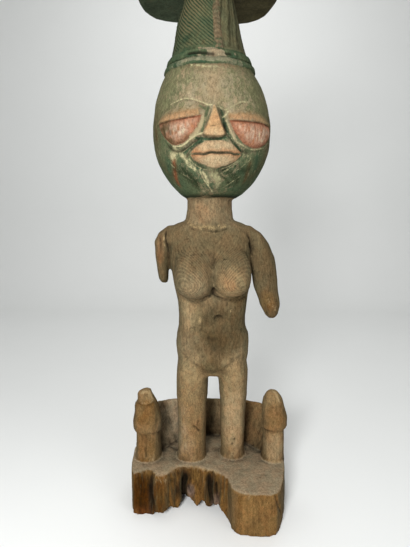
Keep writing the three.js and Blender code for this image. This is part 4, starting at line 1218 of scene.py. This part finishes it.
def makeFlaking():
    # Turns a soft cover into paint that ends in chipped, flaked edges.
    group, given, out = newGroup("flakedPaint", [
        ("Vector", "Vector", None), ("Cover", "Float", 0.5), ("Soft", "Float", 0.12),
    ], [("Mask", "Float"), ("Edge", "Float")])
    vector = given["Vector"]
    coarse = noiseNode(group, vector, (finish["flake"], finish["flake"], 2 * finish["flake"]), 3.0, 0.6, 0.4)
    fine = noiseNode(group, vector, finish["flakeFine"], 2.0, 0.6)
    grit = mathNode(group, "ADD", mathNode(group, "MULTIPLY", coarse, 0.62), mathNode(group, "MULTIPLY", fine, 0.38))
    spread = rangeNode(group, grit, 0.3, 0.7)
    soft = given["Soft"]
    gap = mathNode(group, "SUBTRACT", mathNode(group, "MULTIPLY", given["Cover"], mathNode(group, "ADD", soft, 1.0)), spread)
    mask = mathNode(group, "DIVIDE", gap, soft, clamp=True)
    group.links.new(mask, out["Mask"])
    edge = mathNode(group, "MULTIPLY", mask, mathNode(group, "SUBTRACT", 1.0, mask))
    group.links.new(mathNode(group, "MULTIPLY", edge, 4.0), out["Edge"])
    return group


def makeCombed():
    # Slanting strands to the left of the seam strip and broader plaits to its right.
    group, given, out = newGroup("combedHair", [
        ("Place", "Vector", None), ("Share", "Float", 0.0), ("Wander", "Float", 0.5),
    ], [("Groove", "Float"), ("Ridge", "Float")])
    parts = place(group, "SeparateXYZ", {"Vector": given["Place"]}).outputs
    angle = mathNode(group, "ARCTAN2", parts["X"], parts["Y"])
    lift = mathNode(group, "SUBTRACT", mathNode(group, "MULTIPLY", parts["Z"], 1000.0), 908.0)
    waves = []
    for count, lean in ((hair["strands"], hair["lean"]), (hair["plaits"], -hair["plaitLean"])):
        slant = mathNode(group, "MULTIPLY_ADD", lift, lean, angle)
        phase = mathNode(group, "MULTIPLY_ADD", slant, count / 2, given["Wander"])
        waves.append(mathNode(group, "ABSOLUTE", mathNode(group, "SINE", phase)))
    strip = math.radians(hair["stripAngle"])
    right = rangeNode(group, angle, strip, strip + 0.04)
    wave = mathNode(group, "MULTIPLY_ADD", mathNode(group, "SUBTRACT", waves[1], waves[0]), right, waves[0])
    groove = mathNode(group, "MULTIPLY", rangeNode(group, wave, 0.0, 0.75, 1.0, 0.0), given["Share"])
    ridge = mathNode(group, "MULTIPLY", rangeNode(group, wave, 0.72, 0.98), given["Share"])
    group.links.new(groove, out["Groove"])
    group.links.new(ridge, out["Ridge"])
    return group


def groupNode(tree, group, inputs):
    made = tree.nodes.new("ShaderNodeGroup")
    made.node_tree = group
    for name, value in inputs.items():
        if isinstance(value, bpy.types.NodeSocket):
            tree.links.new(value, made.inputs[name])
        else:
            made.inputs[name].default_value = value
    return made.outputs


def woodMaterial():
    material, tree, skin = newMaterial("agedPaintedWood")
    spot = place(tree, "TexCoord").outputs["Object"]
    grain = groupNode(tree, makeGrain(), {"Vector": spot})
    flaking = makeFlaking()
    read = {
        name: place(tree, "Attribute", attribute_name=name).outputs
        for name in ("bareTint", "coatTint", "wornTint", "coatCover", "wornCover", "shadeAndDirt", "grainShare",
                     "hairPlace", "strandShare", "rubShare")
    }
    paint = groupNode(tree, flaking, {"Vector": spot, "Cover": read["coatCover"]["Fac"], "Soft": finish["paintSoft"]})
    worn = groupNode(tree, flaking, {"Vector": spot, "Cover": read["wornCover"]["Fac"], "Soft": finish["wornSoft"]})
    wander = mathNode(tree, "MULTIPLY", noiseNode(tree, spot, (9, 9, 14), 2.0), finish["strandWander"])
    combed = groupNode(tree, makeCombed(), {
        "Place": read["hairPlace"]["Vector"], "Share": read["strandShare"]["Fac"], "Wander": wander,
    })
    fibre, rings, speckle = grain["Fibre"], grain["Rings"], grain["Speckle"]
    share = read["grainShare"]["Fac"]
    mottle = noiseNode(tree, spot, (4.5, 4.5, 8), 4.0, 0.65, 0.8, 0.7)
    blend = noiseNode(tree, spot, (19, 19, 30), 3.0, 0.6, 0.5, 0.4)
    warmth = mixColour(tree, rangeNode(tree, blend, 0.36, 0.64), (0.95, 1.01, 1.09, 1), (1.05, 1.0, 1.04, 1))
    streak = mathNode(tree, "MULTIPLY", rangeNode(tree, fibre, 0.3, 0.7, -0.15, 0.13), share)
    ring = mathNode(tree, "MULTIPLY", rangeNode(tree, rings, 0, 1, -0.14, 0.14), share)
    cloud = rangeNode(tree, mottle, 0.3, 0.7, -0.28, 0.28)
    dust = rangeNode(tree, speckle, 0.35, 0.65, -0.15, 0.15)
    shade = mathNode(tree, "ADD", mathNode(tree, "ADD", streak, ring), mathNode(tree, "ADD", cloud, dust))
    shade = mathNode(tree, "ADD", shade, 1.0)
    bare = mixColour(tree, 1.0, mixColour(tree, 1.0, read["bareTint"]["Color"], warmth, "MULTIPLY"), shade, "MULTIPLY")
    coat = mixColour(tree, 1.0, read["coatTint"]["Color"], shade, "MULTIPLY")
    colour = mixColour(tree, paint["Mask"], bare, coat)
    rubbed = mathNode(tree, "MULTIPLY", combed["Ridge"], mathNode(tree, "MULTIPLY", read["rubShare"]["Fac"], finish["rub"]))
    colour = mixColour(tree, rubbed, colour, (*tintOf(hairPaint["ridgeTint"]), 1))
    pale = mixColour(tree, 1.0, read["wornTint"]["Color"], mathNode(tree, "MULTIPLY_ADD", cloud, 0.5, 1.0), "MULTIPLY")
    colour = mixColour(tree, worn["Mask"], colour, pale)
    pits = rangeNode(tree, noiseNode(tree, spot, 2.4, 2.0, 0.6), 0.66, 0.74, 0.0, 0.55)
    # Darkening towards a near-black brown: painted shade in hollows, creases and grooves, with dust and the wood's real
    # pits.
    soilAndShade = mathNode(tree, "MAXIMUM", read["shadeAndDirt"]["Fac"], mathNode(tree, "MULTIPLY", pits, share))
    # Painted shade in the combed strands' grooves.
    soilAndShade = mathNode(tree, "MAXIMUM", soilAndShade, mathNode(tree, "MULTIPLY", combed["Groove"], finish["strandGrooveShade"]))
    soilAndShade = mathNode(tree, "MULTIPLY", soilAndShade, rangeNode(tree, fibre, 0.2, 0.6, 1.0, 0.85), clamp=True)
    colour = mixColour(tree, soilAndShade, colour, (*tintOf("shadeAndGrime"), 1))
    tree.links.new(colour, skin.inputs["Base Color"])
    rough = rangeNode(tree, speckle, 0.3, 0.7, finish["rough"] - 0.08, finish["rough"] + 0.08)
    rough = mathNode(tree, "MULTIPLY_ADD", paint["Mask"], -0.08, rough, clamp=True)
    tree.links.new(rough, skin.inputs["Roughness"])
    skin.inputs["Specular IOR Level"].default_value = finish["shine"]
    height = mathNode(tree, "MULTIPLY", mathNode(tree, "ADD", mathNode(tree, "MULTIPLY", fibre, 0.7), mathNode(tree, "MULTIPLY", rings, 0.10)), share)
    height = mathNode(tree, "MULTIPLY_ADD", speckle, 0.35, height)
    height = mathNode(tree, "MULTIPLY_ADD", paint["Mask"], 0.14, height)
    height = mathNode(tree, "MULTIPLY_ADD", combed["Groove"], -finish["strandDeep"], height)
    height = mathNode(tree, "MULTIPLY_ADD", pits, -0.7, height)
    relief = place(tree, "Bump", {"Height": height, "Strength": 0.75, "Distance": finish["bump"]})
    tree.links.new(relief.outputs["Normal"], skin.inputs["Normal"])
    return material


def carvePost():
    bm = bmesh.new()
    bm.from_mesh(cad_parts["carved_post"].data)
    bmesh.ops.remove_doubles(bm, verts=bm.verts[:], dist=1e-6)
    carved = meshObject(bm, "carvedPost")
    remesh(carved, post["coarse"])
    points = readPoints(carved.data)
    edges = readEdges(carved.data)
    z = points[:, 2]
    points = steady(points, edges, 0.15 + 0.85 * ramp(z, 88, 120), post["rounds"])
    chest = ramp(z, 488, 512) * (1 - ramp(z, 560, 585)) * ramp(-points[:, 1], 20, 40)
    points = relax(points, edges, chest * ramp(84 - np.abs(points[:, 0]), 0, 16), 60)
    writePoints(carved.data, carveHead(points))
    print("forms", len(carved.data.vertices))
    remesh(carved, post["fine"])
    points = carveHead(readPoints(carved.data))
    points = carveBody(points, readNormals(carved.data))
    points = steady(points, readEdges(carved.data), np.ones(len(points)), post["settle"])
    writePoints(carved.data, keepInside(points))
    print("carving", len(carved.data.vertices))
    height = points[:, 2]
    fine = ramp(height, 655, 670) * (1 - ramp(height, 1040, 1060)) * ramp(-points[:, 1], -10, 20)
    group = carved.vertex_groups.new(name="coarse")
    for i, weight in enumerate(1 - post["faceShare"] * fine):
        group.add([i], weight, "REPLACE")
    thin = carved.modifiers.new("thin", "DECIMATE")
    thin.vertex_group = group.name
    thin.ratio = post["triangles"] / (2 * len(carved.data.polygons))
    applyModifiers(carved)
    for face in carved.data.polygons:
        face.use_smooth = True
    print("thinned", sum(len(face.vertices) - 2 for face in carved.data.polygons))
    paintPost(carved.data)
    print("painted")
    carved.data.materials.clear()
    carved.data.materials.append(woodMaterial())
    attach(carved, "root")
    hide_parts("carved_post")


bpy.context.scene.view_settings.view_transform = "Standard"
makeCamera()
makeSky()
makeLight("key")
makeLight("fill")
makeLight("wash")
makeStage()
print("stage is set")
carvePost()
print("post is carved")
